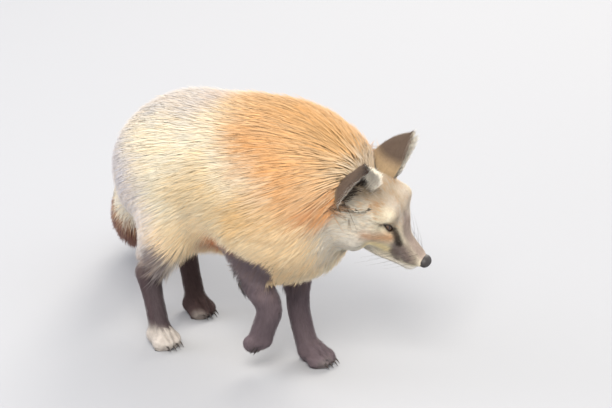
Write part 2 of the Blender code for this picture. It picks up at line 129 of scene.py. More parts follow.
def sheets(inner, outer):
    """Two like grids of points joined round their edges into one closed shell."""
    rows, columns = inner.shape[0] - 1, inner.shape[1] - 1
    index = np.arange((rows + 1) * (columns + 1)).reshape(rows + 1, columns + 1)
    quads = np.stack([index[:-1, :-1], index[:-1, 1:], index[1:, 1:], index[1:, :-1]], axis=-1)
    quads = quads.reshape(-1, 4)
    size = index.size
    rim = np.concatenate([index[:, 0], index[-1, 1:], index[-2::-1, -1], index[0, -2:0:-1]])
    following = np.roll(rim, -1)
    walls = np.stack([rim, following, following + size, rim + size], axis=-1)
    quads = np.vstack([quads, quads[:, ::-1] + size, walls])
    return np.vstack([inner.reshape(-1, 3), outer.reshape(-1, 3)]), quads


def leaf_at(name, t, u):
    """An ear's breadth, front and thickness at a share t of its height and u across it, -1 to 1."""
    ear = EARS[name]
    half = ear["broad"] * (1 - t**2.6) ** ear["blunt"] * (0.88 + 0.12 * np.cos(np.pi * (t - 0.25)))
    half = np.maximum(half, 0.0030)
    widest = 1.35 - 0.50 * t
    wall = 0.0080 * (1 - 0.45 * t) * (1 - 0.4 * u * u)
    cup = ear["cup"][0] + t * (ear["cup"][1] - ear["cup"][0])
    front = 0.014 + 0.008 * t - cup * np.cos(u * widest)
    return half, widest, front, wall


def ear_leaf(name, rows, columns, inset):
    """The ear, a cupped leaf with a rounded tip and a narrow root set deep in the head."""
    height = np.linspace(-EAR_ROOT, 1, rows + 1)[:, None]
    t = np.maximum(height, 0)
    u = np.linspace(-1, 1, columns + 1)[None, :]
    half, widest, front, wall = leaf_at(name, t, u)
    half = half * (0.62 + 0.38 * ramp(height, -EAR_ROOT, 0.28))
    across = (half - inset) * np.sin(u * widest) / np.sin(widest)
    up = (height + 0 * u) * (EARS[name]["height"] + EAR_SUNK - inset) - EAR_SUNK
    thin = np.minimum(inset, 0.42 * wall)
    grids = [np.stack([depth, across, up], axis=-1) for depth in (front - thin, front - wall + thin)]
    axes, root, side = ear_frames[name]
    places, quads = sheets(*grids)
    return places @ axes.T + root, quads


def evaluated(obj):
    """The object's mesh with its modifiers applied."""
    bpy.context.view_layer.update()
    graph = bpy.context.evaluated_depsgraph_get()
    return bpy.data.meshes.new_from_object(obj.evaluated_get(graph))


def taken(shape):
    """A bmesh's points, and its faces as triangles. The bmesh is freed."""
    bmesh.ops.triangulate(shape, faces=shape.faces)
    shape.verts.index_update()
    places = np.array([vert.co for vert in shape.verts])
    faces = np.array([[vert.index for vert in face.verts] for face in shape.faces])
    shape.free()
    return places, faces


def new_piece(name, mesh):
    obj = bpy.data.objects.new(name, mesh)
    bpy.context.scene.collection.objects.link(obj)
    return obj


# The solids of the flesh as one closed surface. The ears are too thin for its mesh, so that each
# of them is set into it as its own fine leaf.
joined = bmesh.new()
cad_points, cad_triangles, cad_names = [], [], []
for name in FLESH:
    if name in EARS:
        continue
    solid = bmesh.new()
    solid.from_mesh(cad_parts[name].data)
    bmesh.ops.remove_doubles(solid, verts=solid.verts, dist=0.00001)
    bmesh.ops.triangulate(solid, faces=solid.faces)
    solid.verts.index_update()
    start = len(cad_points)
    cad_points.extend(vert.co.copy() for vert in solid.verts)
    cad_triangles.extend([start + vert.index for vert in face.verts] for face in solid.faces)
    cad_names.extend([name] * len(solid.faces))
    solid.normal_update()
    for vert in solid.verts:
        vert.co += vert.normal * OVERLAP
    mesh = bpy.data.meshes.new(name)
    solid.to_mesh(mesh)
    solid.free()
    joined.from_mesh(mesh)
    bpy.data.meshes.remove(mesh)
for name in ("eye_left", "eye_right"):
    joined.from_mesh(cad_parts[name].data)
bmesh.ops.remove_doubles(joined, verts=joined.verts, dist=0.00001)
mesh = bpy.data.meshes.new("skin")
joined.to_mesh(mesh)
joined.free()
skin = new_piece("skin", mesh)
remesh = skin.modifiers.new("one surface", "REMESH")
remesh.mode = "VOXEL"
remesh.voxel_size = SKIN_VOXEL
surface = bmesh.new()
surface.from_mesh(evaluated(skin))
skin.modifiers.clear()

# The face and toes are made twice as fine, and the rims of the eyes twice as fine again.
eyes = [from_head(Vector((EYE_AT.x, side * EYE_AT.y, EYE_AT.z))) for side in (-1, 1)]
FINE_FACE, FINE_TOES, FINE_EYE = 0.080, 0.030, 0.0175  # reach of the finer mesh
face_middle = from_head((-0.062, 0, 0.010))
STANDING_PAWS = ("hindpaw_right", "hindpaw_left", "forepaw_left")
toes = [np.array(middle(paw)) + (0.012, 0, -0.004) for paw in STANDING_PAWS]
toes.append(np.array(middle("forepaw_right")) - (0, 0, 0.012))
for reach, centres in ((FINE_FACE, [face_middle]), (FINE_TOES, toes), (FINE_EYE, eyes)):
    near = [
        edge
        for edge in surface.edges
        if any(np.linalg.norm(np.array(edge.verts[0].co) - centre) < reach for centre in centres)
    ]
    bmesh.ops.subdivide_edges(surface, edges=near, cuts=1, use_grid_fill=True)
points, triangles = taken(surface)

# Which solid each point of the skin belongs to.
tree = BVHTree.FromPolygons(cad_points, cad_triangles)
owners = [cad_names[tree.find_nearest(Vector(point))[2]] for point in points]
body_count, body_triangles = len(points), len(triangles)  # after these come the ears and lids
for name in EARS:
    places, quads = ear_leaf(name, 50, 28, 0.0016)
    quads = quads + len(points)
    points = np.vstack([points, places])
    triangles = np.vstack([triangles, quads[:, [0, 1, 2]], quads[:, [0, 2, 3]]])
    owners += [name] * len(places)
LID_RINGS, LID_STEPS = 16, 96
lid_starts = []
for side in (-1, 1):
    lid_starts.append(len(points))
    index = len(points) + np.arange(LID_RINGS * LID_STEPS).reshape(LID_RINGS, LID_STEPS)
    beside = np.roll(index, -1, axis=1)
    quads = np.stack([index[:-1], beside[:-1], beside[1:], index[1:]], axis=-1).reshape(-1, 4)
    if side > 0:
        quads = quads[:, ::-1]
    points = np.vstack([points, np.zeros((LID_RINGS * LID_STEPS, 3))])
    triangles = np.vstack([triangles, quads[:, [0, 1, 2]], quads[:, [0, 2, 3]]])
    owners += ["head"] * (LID_RINGS * LID_STEPS)
pairs = np.vstack([triangles[:, [0, 1]], triangles[:, [1, 2]], triangles[:, [2, 0]]])
pairs = np.unique(np.sort(pairs, axis=1), axis=0)
parts, part_of = np.unique(owners, return_inverse=True)
own_shape = np.arange(len(points)) >= body_count


def starting(parts_there, *starts):
    """Whether each of some solids has a name that starts so."""
    return np.array([part.startswith(starts) for part in parts])[np.searchsorted(parts, parts_there)]


def of(*starts):
    """1 at the points of the solids whose names start so, else 0."""
    return starting(parts[part_of], *starts).astype(float)


edge_counts = np.bincount(pairs.ravel(), minlength=len(points))[:, None]


def totals(numbers, values):
    """Values added up at the points whose numbers go with them."""
    return np.stack([np.bincount(numbers, column, len(points)) for column in values.T], axis=1)


def evened(values, rounds):
    """Values at the skin's points, evened out along its edges."""
    values = values.reshape(len(values), -1).astype(float)
    for _ in range(rounds):
        total = totals(pairs[:, 0], values[pairs[:, 1]]) + totals(pairs[:, 1], values[pairs[:, 0]])
        values = values + 0.5 * (total / edge_counts - values)
    return values


def unit(vectors):
    return vectors / np.maximum(np.linalg.norm(vectors, axis=-1, keepdims=True), 1e-12)


def normals_of(places):
    """Outward normals at the skin's points."""
    corners = places[triangles]
    across = np.cross(corners[:, 1] - corners[:, 0], corners[:, 2] - corners[:, 0])
    return unit(sum(totals(triangles[:, k], across) for k in range(3)))


# The facets are evened out, most on the trunk and least on the paws and ears.
SMOOTHING = (  # rounds, and the parts that are left out of them
    (4, ()),
    (6, ("ear_", "forepaw", "hindpaw")),
    (14, ("ear_", "forepaw", "hindpaw", "head", "muzzle", "lower_jaw", "nose", "forearm", "shank")),
)
SOLE, SOLE_SUNK = 0.0006, 0.0008  # height of the standing paws' soles, before and after sinking
low_sole = (points[:, 2] < 2 * SOLE) & ~own_shape
for rounds, kept in SMOOTHING:
    free = evened(1 - of(*kept), 2) * ~own_shape[:, None]
    for _ in range(rounds):
        points = points + free * (evened(points, 1) - points)
normals_at = normals_of(points)
# Evening has drawn the surface in, so it is brought back out to the solids.
gap = np.zeros(len(points))
for index in range(body_count):
    nearest = tree.find_nearest(Vector(points[index]))[0]
    gap[index] = (np.array(nearest) - points[index]) @ normals_at[index]
for eye in eyes:
    gap *= ramp(np.linalg.norm(points - eye, axis=1), 0.015, 0.022)
points = points + normals_at * (evened(gap, 8)[:, 0] * ~own_shape).clip(-0.001, 0.005)[:, None]
points[low_sole, 2] = SOLE

# The depth of the coat over each point, never more than the body's thickness allows.
COAT_DEPTHS = {  # by the start of a solid's name
    "rump": 0.017, "loin": 0.018, "chest": 0.019, "neck": 0.021, "thigh": 0.012, "upper_arm": 0.010,
    "shank": 0.0034, "forearm": 0.0034, "hindpaw": 0.0020, "forepaw": 0.0020, "tail_base": 0.022,
    "tail_middle": 0.030, "tail_tip": 0.026, "head": 0.0065, "muzzle": 0.0018, "nose": 0.0015,
    "lower_jaw": 0.0018, "ear": 0.0020,
}
THICKEST = 0.36  # the coat's greatest depth, as a share of the body's thickness there
FACE = ("head", "muzzle", "nose", "lower_jaw")
depth = sum(value * of(start) for start, value in COAT_DEPTHS.items())
at_head = in_head(points)
on_head = evened(of(*FACE), 2)[:, 0]
face_depth = 0.0017 + 0.0045 * ramp(-at_head[:, 0], 0.050, 0.115)
face_depth += 0.0080 * ramp(-at_head[:, 0], 0.085, 0.125) * ramp(np.abs(at_head[:, 1]), 0.030, 0.055)
face_depth -= 0.0030 * ramp(at_head[:, 2], 0.020, 0.040) * ramp(-at_head[:, 0], 0.060, 0.090)
depth = depth * (1 - on_head) + on_head * face_depth
normals = normals_of(points)


def tree_of_skin(count):
    return BVHTree.FromPolygons(points.tolist(), triangles[:count].tolist())


skin_tree = tree_of_skin(body_triangles)
thickness = np.full(len(points), 0.1)
for index in range(body_count):
    under = points[index] - 0.0004 * normals[index]
    thickness[index] = skin_tree.ray_cast(Vector(under), Vector(-normals[index]))[3] or 0.1
thickness = evened(thickness, 3)[:, 0]
depth = np.minimum(depth, THICKEST * thickness)
even_depth = evened(depth, 60)[:, 0]
depth = even_depth + on_head * (evened(depth, 10)[:, 0] - even_depth)
depth = np.minimum(depth, THICKEST * thickness)
SINKING = 12
for _ in range(SINKING):
    points = points - normals_of(points) * (depth * ~own_shape / SINKING)[:, None]
    loose = (ramp(depth, 0.006, 0.012) * ~own_shape)[:, None]
    points = points + loose * (evened(points, 1) - points)
points[low_sole, 2] = SOLE_SUNK
depth = np.maximum(depth, 0.0008)

# Soft forms of the head, each a swelling or a hollow of the skin on both sides.
FORMS = (  # place in the head's frame, its radii, height
    ((-0.024, 0.012, -0.010), (0.013, 0.008, 0.009), 0.0022),  # whisker pads
    ((-0.014, 0.000, -0.026), (0.014, 0.012, 0.008), 0.0042),  # chin
    ((-0.062, 0.012, 0.034), (0.012, 0.012, 0.010), 0.0018),  # top of the muzzle
    ((-0.084, 0.042, 0.006), (0.018, 0.014, 0.012), 0.0016),  # cheekbones
    ((-0.088, 0.025, 0.052), (0.019, 0.017, 0.013), 0.0100),  # brows
    ((-0.068, 0.000, 0.036), (0.014, 0.008, 0.012), -0.0016),  # hollow between the eyes
    ((-0.110, 0.000, 0.058), (0.030, 0.030, 0.020), 0.0040),  # crown
    ((-0.046, 0.020, 0.014), (0.016, 0.006, 0.008), -0.0010),  # hollow before each eye
)
at_head = in_head(points)
for centre, radii, height in FORMS:
    away = (np.abs(at_head) * (0, 1, 0) + at_head * (1, 0, 1) - centre) / radii
    swell = height * np.exp(-(away**2).sum(1)) * ~own_shape * (on_head > 0.3)
    points = points + normals_of(points) * swell[:, None]

# Each paw has four toes: a knuckle over each, and a groove between each two.
TOE_GROOVE, TOE_KNUCKLE = 0.0022, 0.0009
for paw in (*STANDING_PAWS, "forepaw_right"):
    lifted = paw not in STANDING_PAWS
    centre = np.array(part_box(paw)).mean(axis=0)
    ahead = centre[2] - points[:, 2] if lifted else points[:, 0] - centre[0]
    reach = ramp(ahead, 0.000, 0.018) * of(paw)
    off = points[:, 1] - centre[1]
    groove = sum(np.exp(-(((off - line) / 0.0016) ** 2)) for line in (-0.0090, 0.0, 0.0090))
    knuckle = sum(np.exp(-(((off - line) / 0.0032) ** 2)) for line in (-0.0135, -0.0045, 0.0045, 0.0135))
    above = 1 if lifted else ramp(normals_of(points)[:, 2], -0.7, 0.0)
    push = reach * above * (TOE_KNUCKLE * knuckle - TOE_GROOVE * groove)
    points = points + normals_of(points) * push[:, None]
points[low_sole, 2] = SOLE_SUNK

# The lids lie close over the eyeballs and leave a narrow almond open between them. Each pair is a
# fine ring of skin from the rim of the opening out to the face.
EYE_RADIUS = 0.0095
GAZE = np.array((0.62, 0.62, 0.48)) / np.linalg.norm((0.62, 0.62, 0.48))
LID_LINE = unit(np.array((-0.69, 0.55, 0.48)))  # from the inner corner of the eye to the outer
LID_LINE = unit(LID_LINE - GAZE * (LID_LINE @ GAZE))
LID_UP = np.cross(GAZE, LID_LINE)
LID_UP = LID_UP * np.sign(LID_UP[2])
EYE_FRAME = np.stack([LID_LINE, LID_UP, GAZE])
LIDS_LONG = 0.0086  # half of the opening's length
LIDS_OPEN = 0.0022  # half of its height
LID_WIDTHS = (-0.3, 0, 0.25, 0.6, 1.0, 1.5, 2.1, 2.8, 3.5, 4.3, 5.1, 6.0, 7.0, 8.0, 9.0, 10.0)  # mm
LID_HEIGHTS = (-0.7, 0.35, 0.85, 1.15, 1.25, 1.30, 1.35, 1.25, 1.05)  # over the eyeball, in mm


def at_eye(places, side):
    """Places from the middle of an eye: along its lids, up, and out the way it looks."""
    return (in_head(places) * (1, side, 1) - np.array(EYE_AT)) @ EYE_FRAME.T


def from_eye(places, side):
    return from_head((places @ EYE_FRAME + np.array(EYE_AT)) * (1, side, 1))


def past_lids(a, b):
    """How far a place in front of the eye is outside the opening between the lids."""
    opening = LIDS_OPEN * np.clip(1 - (a / LIDS_LONG) ** 2, 0, 1)
    beyond = np.maximum(np.abs(a) - LIDS_LONG, 0)
    return np.where(beyond > 0, np.hypot(beyond, b), np.abs(b) - opening)


def lid_height(a, b, past, face):
    """How far the lids stand before the middle of the eye, over the face's own height there."""
    over = np.interp(past, np.array(LID_WIDTHS[: len(LID_HEIGHTS)]) / 1000, np.array(LID_HEIGHTS) / 1000)
    out = np.hypot(a, b)
    on_ball = np.sqrt(np.maximum((EYE_RADIUS + over) ** 2 - out**2, 0.0052**2))
    share = ramp(past, 0.0008, 0.0085)
    return on_ball * (1 - share) + face * share


before_eyes = tree_of_skin(body_triangles)
past_rims = np.full(len(points), 1.0)
for side, start in zip((-1, 1), lid_starts):
    gaze = Vector((GAZE * (1, side, 1)) @ HEAD_AXES.T)
    widths = np.array(LID_WIDTHS)[:, None] / 1000
    angle = np.linspace(0, 2 * np.pi, LID_STEPS, endpoint=False)[None, :]
    up = np.sin(angle)
    a = (LIDS_LONG + widths) * np.cos(angle)
    b = LIDS_OPEN * up * np.abs(up) + widths * up
    rings = np.stack([a, b, 0 * a], axis=-1)
    face = []  # how far the face stands before the middle of the eye, round the outermost ring
    for place in rings[-1]:
        above = from_eye(place + (0, 0, 0.05), side)
        face.append(0.05 - (before_eyes.ray_cast(Vector(above), -gaze, 0.08)[3] or 0.045))
    face = np.array(face)
    for _ in range(12):
        face = (np.roll(face, 1) + 2 * face + np.roll(face, -1)) / 4
    rings = rings.reshape(-1, 3)
    past = np.repeat(widths[:, 0], LID_STEPS)
    rings[:, 2] = lid_height(rings[:, 0], rings[:, 1], past, np.tile(face, LID_RINGS))
    rings[:, 2] -= 0.0012 * ramp(past, 0.0068, 0.0100)
    all_rings = slice(start, start + len(rings))
    points[all_rings] = from_eye(rings, side)
    past_rims[all_rings] = past
    # The skin that was there goes under the ring.
    at = at_eye(points[:body_count], side)
    near = np.flatnonzero((np.hypot(at[:, 0], at[:, 1]) < 0.022) & (at[:, 2] > -0.004) & (at[:, 2] < 0.03))
    at = at[near]
    past = past_lids(at[:, 0], at[:, 1])
    turn = np.arccos(np.clip(at[:, 0] / (LIDS_LONG + past), -1, 1))
    turn = np.where(at[:, 1] < 0, 2 * np.pi - turn, turn)
    beside = np.interp(turn, np.append(angle[0], 2 * np.pi), np.append(face, face[0]))
    under = lid_height(at[:, 0], at[:, 1], past, beside) - 0.0020
    share = 1 - ramp(past, 0.0062, 0.0084)
    at[:, 2] += share * (np.minimum(at[:, 2], under) - at[:, 2])
    points[near] = from_eye(at, side)
    past_rims[near] = np.minimum(past_rims[near], past)

# The mouth is a shut line from under the nose to its corner below the eye.
MOUTH_CORNER = (-0.070, -0.0315)  # along and up, in the head's frame
MOUTH_SLOPE = math.tan(math.radians(9.5))
MOUTH_DEPTH, MOUTH_WIDTH = 0.0016, 0.0016
at_head = in_head(points)
lip_line = MOUTH_CORNER[1] + MOUTH_SLOPE * (at_head[:, 0] - MOUTH_CORNER[0])
lip_line += 0.40 * (at_head[:, 0] + 0.022).clip(0)  # it rises under the nose
in_mouth = np.exp(-(((at_head[:, 2] - lip_line) / MOUTH_WIDTH) ** 2))
in_mouth *= ramp(at_head[:, 0], -0.076, -0.070) * (1 - ramp(at_head[:, 0], -0.004, 0.002))
in_mouth *= on_head > 0.5
points = points - normals_of(points) * (MOUTH_DEPTH * in_mouth)[:, None]
normals = normals_of(points)

# The hair lies from the nose over the head and neck to the tail, down the flanks and legs, and up
# the ears from root to tip.


def towards(start, end):
    return np.array((middle(end) - middle(start)).normalized())


upright = np.abs(normals[:, 2:])
side_of_head = np.sign(at_head[:, 1:2])
on_cheek = ramp(np.abs(at_head[:, 1:2]), 0.012, 0.045)
head_lie = np.hstack([-np.ones_like(on_cheek), 0.45 * side_of_head * on_cheek, -0.40 * on_cheek])
falling = np.array([0, 0, -0.50]) * (1 - upright)
lie = (
    of("rump", "loin", "chest")[:, None] * (np.array([-1, 0, -0.12]) + falling)
    + of("neck")[:, None] * (np.array([-0.90, -0.10, -0.12]) + falling)
    + of(*FACE)[:, None] * (head_lie @ HEAD_AXES.T)
    + of("thigh")[:, None] * np.array([-0.55, 0, -0.84])
    + of("upper_arm")[:, None] * np.array([-0.40, 0, -0.90])
    + of("tail_base")[:, None] * towards("tail_base", "tail_middle")
    + of("tail_middle", "tail_tip")[:, None] * towards("tail_middle", "tail_tip")
    + of("forepaw_left", "hindpaw")[:, None] * np.array([0.90, 0, -0.35])
    + of("forepaw_right")[:, None] * towards("forearm_right", "forepaw_right")
)
for leg, paw in (("shank_", "hindpaw_"), ("forearm_", "forepaw_")):
    for side in ("left", "right"):
        lie += of(leg + side)[:, None] * towards(leg + side, paw + side)
for name, (axes, root, side) in ear_frames.items():
    lie += of(name)[:, None] * axes[:, 2]
for side in (-1, 1):
    at = at_eye(points, side)
    close = (1 - ramp(past_rims, 0.001, 0.009)) * (np.linalg.norm(at, axis=1) < 0.026)
    parting = np.clip(at[:, 1] / 0.002, -1, 1) * close * 1.3
    lie += parting[:, None] * ((LID_UP * (1, side, 1)) @ HEAD_AXES.T)
for _ in range(6):
    lie = evened(unit(lie - normals * (lie * normals).sum(1, keepdims=True)), 5)
lie = unit(lie - normals * (lie * normals).sum(1, keepdims=True))

# The marks of the coat, on both sides of the body alike. Each is a soft patch along a line.
BODY_MIDDLE = np.array((0.08215, 0.06285, 0))  # the body's middle plane from the middle of its box


def linear(hex_colour):
    """An sRGB hex colour as linear light."""
    values = np.array([int(hex_colour[i : i + 2], 16) / 255 for i in (0, 2, 4)])
    return np.where(values <= 0.04045, values / 12.92, ((values + 0.055) / 1.055) ** 2.4)


FLANK = "E9DDC2"
BODY_MARKS = (  # colour, from, to, radius at each end, softness, strength
    # trunk
    ("C8C3C6", (-0.1, 0.06, 0.29), (-0.02, 0.095, 0.235), (0.075, 0.08), 0.06, 0.95),  # rump
    ("E4DBD4", (-0.04, 0.095, 0.2), (0.055, 0.1, 0.175), (0.064, 0.048), 0.05, 0.95),  # thigh
    ("FFE0B0", (0.1, 0.09, 0.205), (0.15, 0.09, 0.215), (0.035, 0.035), 0.04, 0.7),  # flank's low edge: its pale cream, made paler as painted light over the shade by the fold
    ("A8968A", (0.03, 0.095, 0.12), (0, 0.085, 0.135), (0.026, 0.028), 0.034, 0.9),  # hock
    ("776B6C", (0.08, 0.095, 0.168), (0.056, 0.09, 0.12), (0.018, 0.024), 0.03, 0.9),  # lower thigh's own grey-brown, drawn up as painted shade in the crease before the thigh
    ("C6BEB8", (-0.06, 0, 0.385), (0.085, 0, 0.4), (0.075, 0.07), 0.07, 0.9),  # loin
    ("C4955E", (0.205, 0, 0.4), (0.3, 0, 0.405), (0.05, 0.086), 0.16, 0.95),  # saddle
    ("CE8630", (0.232, 0.068, 0.374), (0.324, 0.088, 0.318), (0.018, 0.034), 0.13, 1),  # shoulder
    ("E2C79A", (0.15, 0.105, 0.285), (0.22, 0.105, 0.265), (0.044, 0.036), 0.05, 0.8),  # ribs
    ("DBB074", (0.25, 0.105, 0.27), (0.315, 0.095, 0.255), (0.032, 0.032), 0.05, 0.7),  # behind the elbow
    ("F2D2A2", (0.15, 0.02, 0.15), (0.3, 0.075, 0.2), (0.055, 0.045), 0.06, 0.8),  # belly
    ("BC6A2E", (0.158, 0.076, 0.19), (0.198, 0.081, 0.2), (0.018, 0.018), 0.03, 0.95),  # fold
    ("CF9A6C", (0.02, 0, 0.425), (0.17, 0, 0.425), (0.02, 0.034), 0.034, 0.65),  # spine
    # neck
    ("FFE2B6", (0.3, 0.06, 0.25), (0.33, 0.04, 0.19), (0.035, 0.03), 0.04, 0.6),  # ruff
    ("C8762E", (0.366, 0.058, 0.322), (0.342, 0.064, 0.266), (0.024, 0.014), 0.034, 0.92),  # behind the ear
    ("D9A066", (0.342, 0.04, 0.268), (0.33, 0.06, 0.225), (0.012, 0.008), 0.03, 0.6),  # rust below it
    ("C99A62", (0.345, 0.02, 0.352), (0.33, 0, 0.36), (0.022, 0.022), 0.03, 0.5),  # nape
    ("D2C9BC", (0.345, 0, 0.175), (0.36, 0.025, 0.225), (0.035, 0.032), 0.03, 0.9),  # throat
    # under the tail
    ("F6ECDA", (-0.084, 0, 0.18), (-0.102, 0.004, 0.146), (0.024, 0.014), 0.016, 0.92),
)
HEAD_MARKS = (
    ("C4B199", (-0.125, 0, 0.045), (-0.085, 0, 0.042), (0.045, 0.032), 0.02, 0.95),  # crown
    ("CFC7B8", (-0.115, 0.064, 0.012), (-0.092, 0.05, -0.002), (0.04, 0.02), 0.024, 0.9),  # cheek
    ("DAD2C4", (-0.11, 0.07, -0.02), (-0.08, 0.03, -0.04), (0.028, 0.018), 0.02, 0.9),  # jowl
    ("A8958B", (-0.066, 0, 0.03), (-0.012, 0, 0.01), (0.014, 0.013), 0.01, 0.9),  # top of the muzzle
    ("FFE9B0", (-0.078, 0.038, -0.01), (-0.058, 0.027, -0.012), (0.011, 0.01), 0.014, 0.85),  # cheek's yellow
    ("CC8A50", (-0.092, 0.05, 0.008), (-0.064, 0.03, 0.014), (0.003, 0.007), 0.024, 0.85),  # under the eye
    ("B78A5C", (-0.112, 0.034, 0.046), (-0.092, 0.03, 0.04), (0.008, 0.006), 0.016, 0.35),  # brow's rust
    ("D2C8BC", (-0.094, 0.018, 0.053), (-0.072, 0.012, 0.04), (0.009, 0.008), 0.018, 0.7),  # brow
    ("625356", (-0.047, 0.024, 0.004), (-0.026, 0.016, -0.008), (0.01, 0.008), 0.011, 0.86),  # muzzle's side
    ("6A5B57", (-0.046, 0.021, -0.008), (-0.034, 0.015, -0.022), (0.007, 0.005), 0.006, 0.82),  # lip behind it
    ("3A2C28", (-0.077, 0.0215, -0.0323), (-0.038, 0.0138, -0.0262), (0.0012, 0.0016), 0.004, 0.88),  # mouth
    ("7C6B64", (-0.036, 0.017, 0.008), (-0.016, 0.014, -0.005), (0.008, 0.007), 0.009, 0.72),  # whisker bed
    ("2A201C", (-0.066, 0.022, 0.024), (-0.047, 0.02, 0.009), (0.005, 0.0062), 0.007, 0.94),  # eye stripe
    ("241A16", (-0.08, 0.035, 0.029), (-0.092, 0.044, 0.032), (0.0026, 0.0014), 0.004, 0.92),  # eye's corner
    ("FFFCF6", (-0.003, 0.004, -0.0185), (-0.024, 0.009, -0.0285), (0.003, 0.0036), 0.005, 0.95),  # white lip
    ("E2DACD", (-0.018, 0, -0.032), (-0.095, 0, -0.055), (0.014, 0.024), 0.012, 0.95),  # chin and jaw
    ("6E5645", (-0.119, 0.043, 0.052), (-0.127, 0.052, 0.05), (0.0035, 0.0035), 0.006, 0.7),  # before the ear: painted shade in the notch at the ear's front root
    ("DC9450", (-0.144, 0.074, 0.012), (-0.156, 0.06, 0.044), (0.012, 0.014), 0.024, 0.8),  # rusty nape
)
LEGS = (  # starts of the names of the parts of the legs, their colour, the height where it ends, softness
    (("upper_arm",), "75676A", 0.205, 0.030),
    (("forearm", "forepaw"), "6C5E62", 0.400, 0.010),
    (("shank_left", "hindpaw_left"), "4C3B39", 0.400, 0.010),
    (("thigh_left",), "4C3B39", 0.110, 0.040),
)
TAIL_COLOURS = (  # share of the way from the middle of its root to the middle of its tip, colour
    (-0.44, "E6DACA"), (-0.36, "B98E6C"), (-0.26, "77432E"), (0.55, "6E4432"), (0.80, "84644F"),
    (0.94, "EFE8DC"),
)
EAR_BACK, EAR_BASE, EAR_INSIDE, EAR_FRINGE = "66564A", "B59C7B", "33231A", "FFF6E4"
# The hollow of each ear is painted dark as shade: the inside of its cup and the head just before it.
EAR_HOLLOW_SHADE = ((-0.0060, -0.0050, -0.0010), (-0.0128, 0.0140, 0.0090), (0.0100, 0.0100), 0.006, 0.95)
HOLLOW_SHADE, EYE_RIM = "2B1E17", "2B201B"
HIND_RIGHT = {  # each part's colour, and its colour in front
    "shank_right": ("5E4E50", "5A4E50"), "hindpaw_right": ("CDC3B9", "9A8F88"),
}
PAW_MARKS = (  # on one side of the body only
    ("CDC3B9", (0.010, -0.085, 0.012), (0.070, -0.095, 0.006), (0.026, 0.026), 0.020, 0.95),
    ("B4A9A0", (0.030, 0.022, 0.004), (0.050, 0.022, 0.004), (0.014, 0.014), 0.016, 0.70),
    ("B8A494", (0.190, -0.062, 0.062), (0.198, -0.062, 0.030), (0.006, 0.006), 0.014, 0.65),
    ("9A918C", (0.285, 0.012, 0.006), (0.275, 0.030, 0.004), (0.010, 0.010), 0.014, 0.55),
)


def patch(at, start, end, radii, soft, strength):
    """How much of a soft patch lies over each place."""
    start, end = np.array(start), np.array(end)
    along = np.clip((at - start) @ (end - start) / ((end - start) @ (end - start)), 0, 1)
    away = np.linalg.norm(at - start - along[:, None] * (end - start), axis=1)
    radius = radii[0] + along * (radii[1] - radii[0])
    return strength * (1 - ramp(away - radius, -soft / 2, soft / 2))


def mixed(colour, other, share):
    """Colours turned towards another by a share at each place."""
    return colour + share[:, None] * (linear(other) - colour)


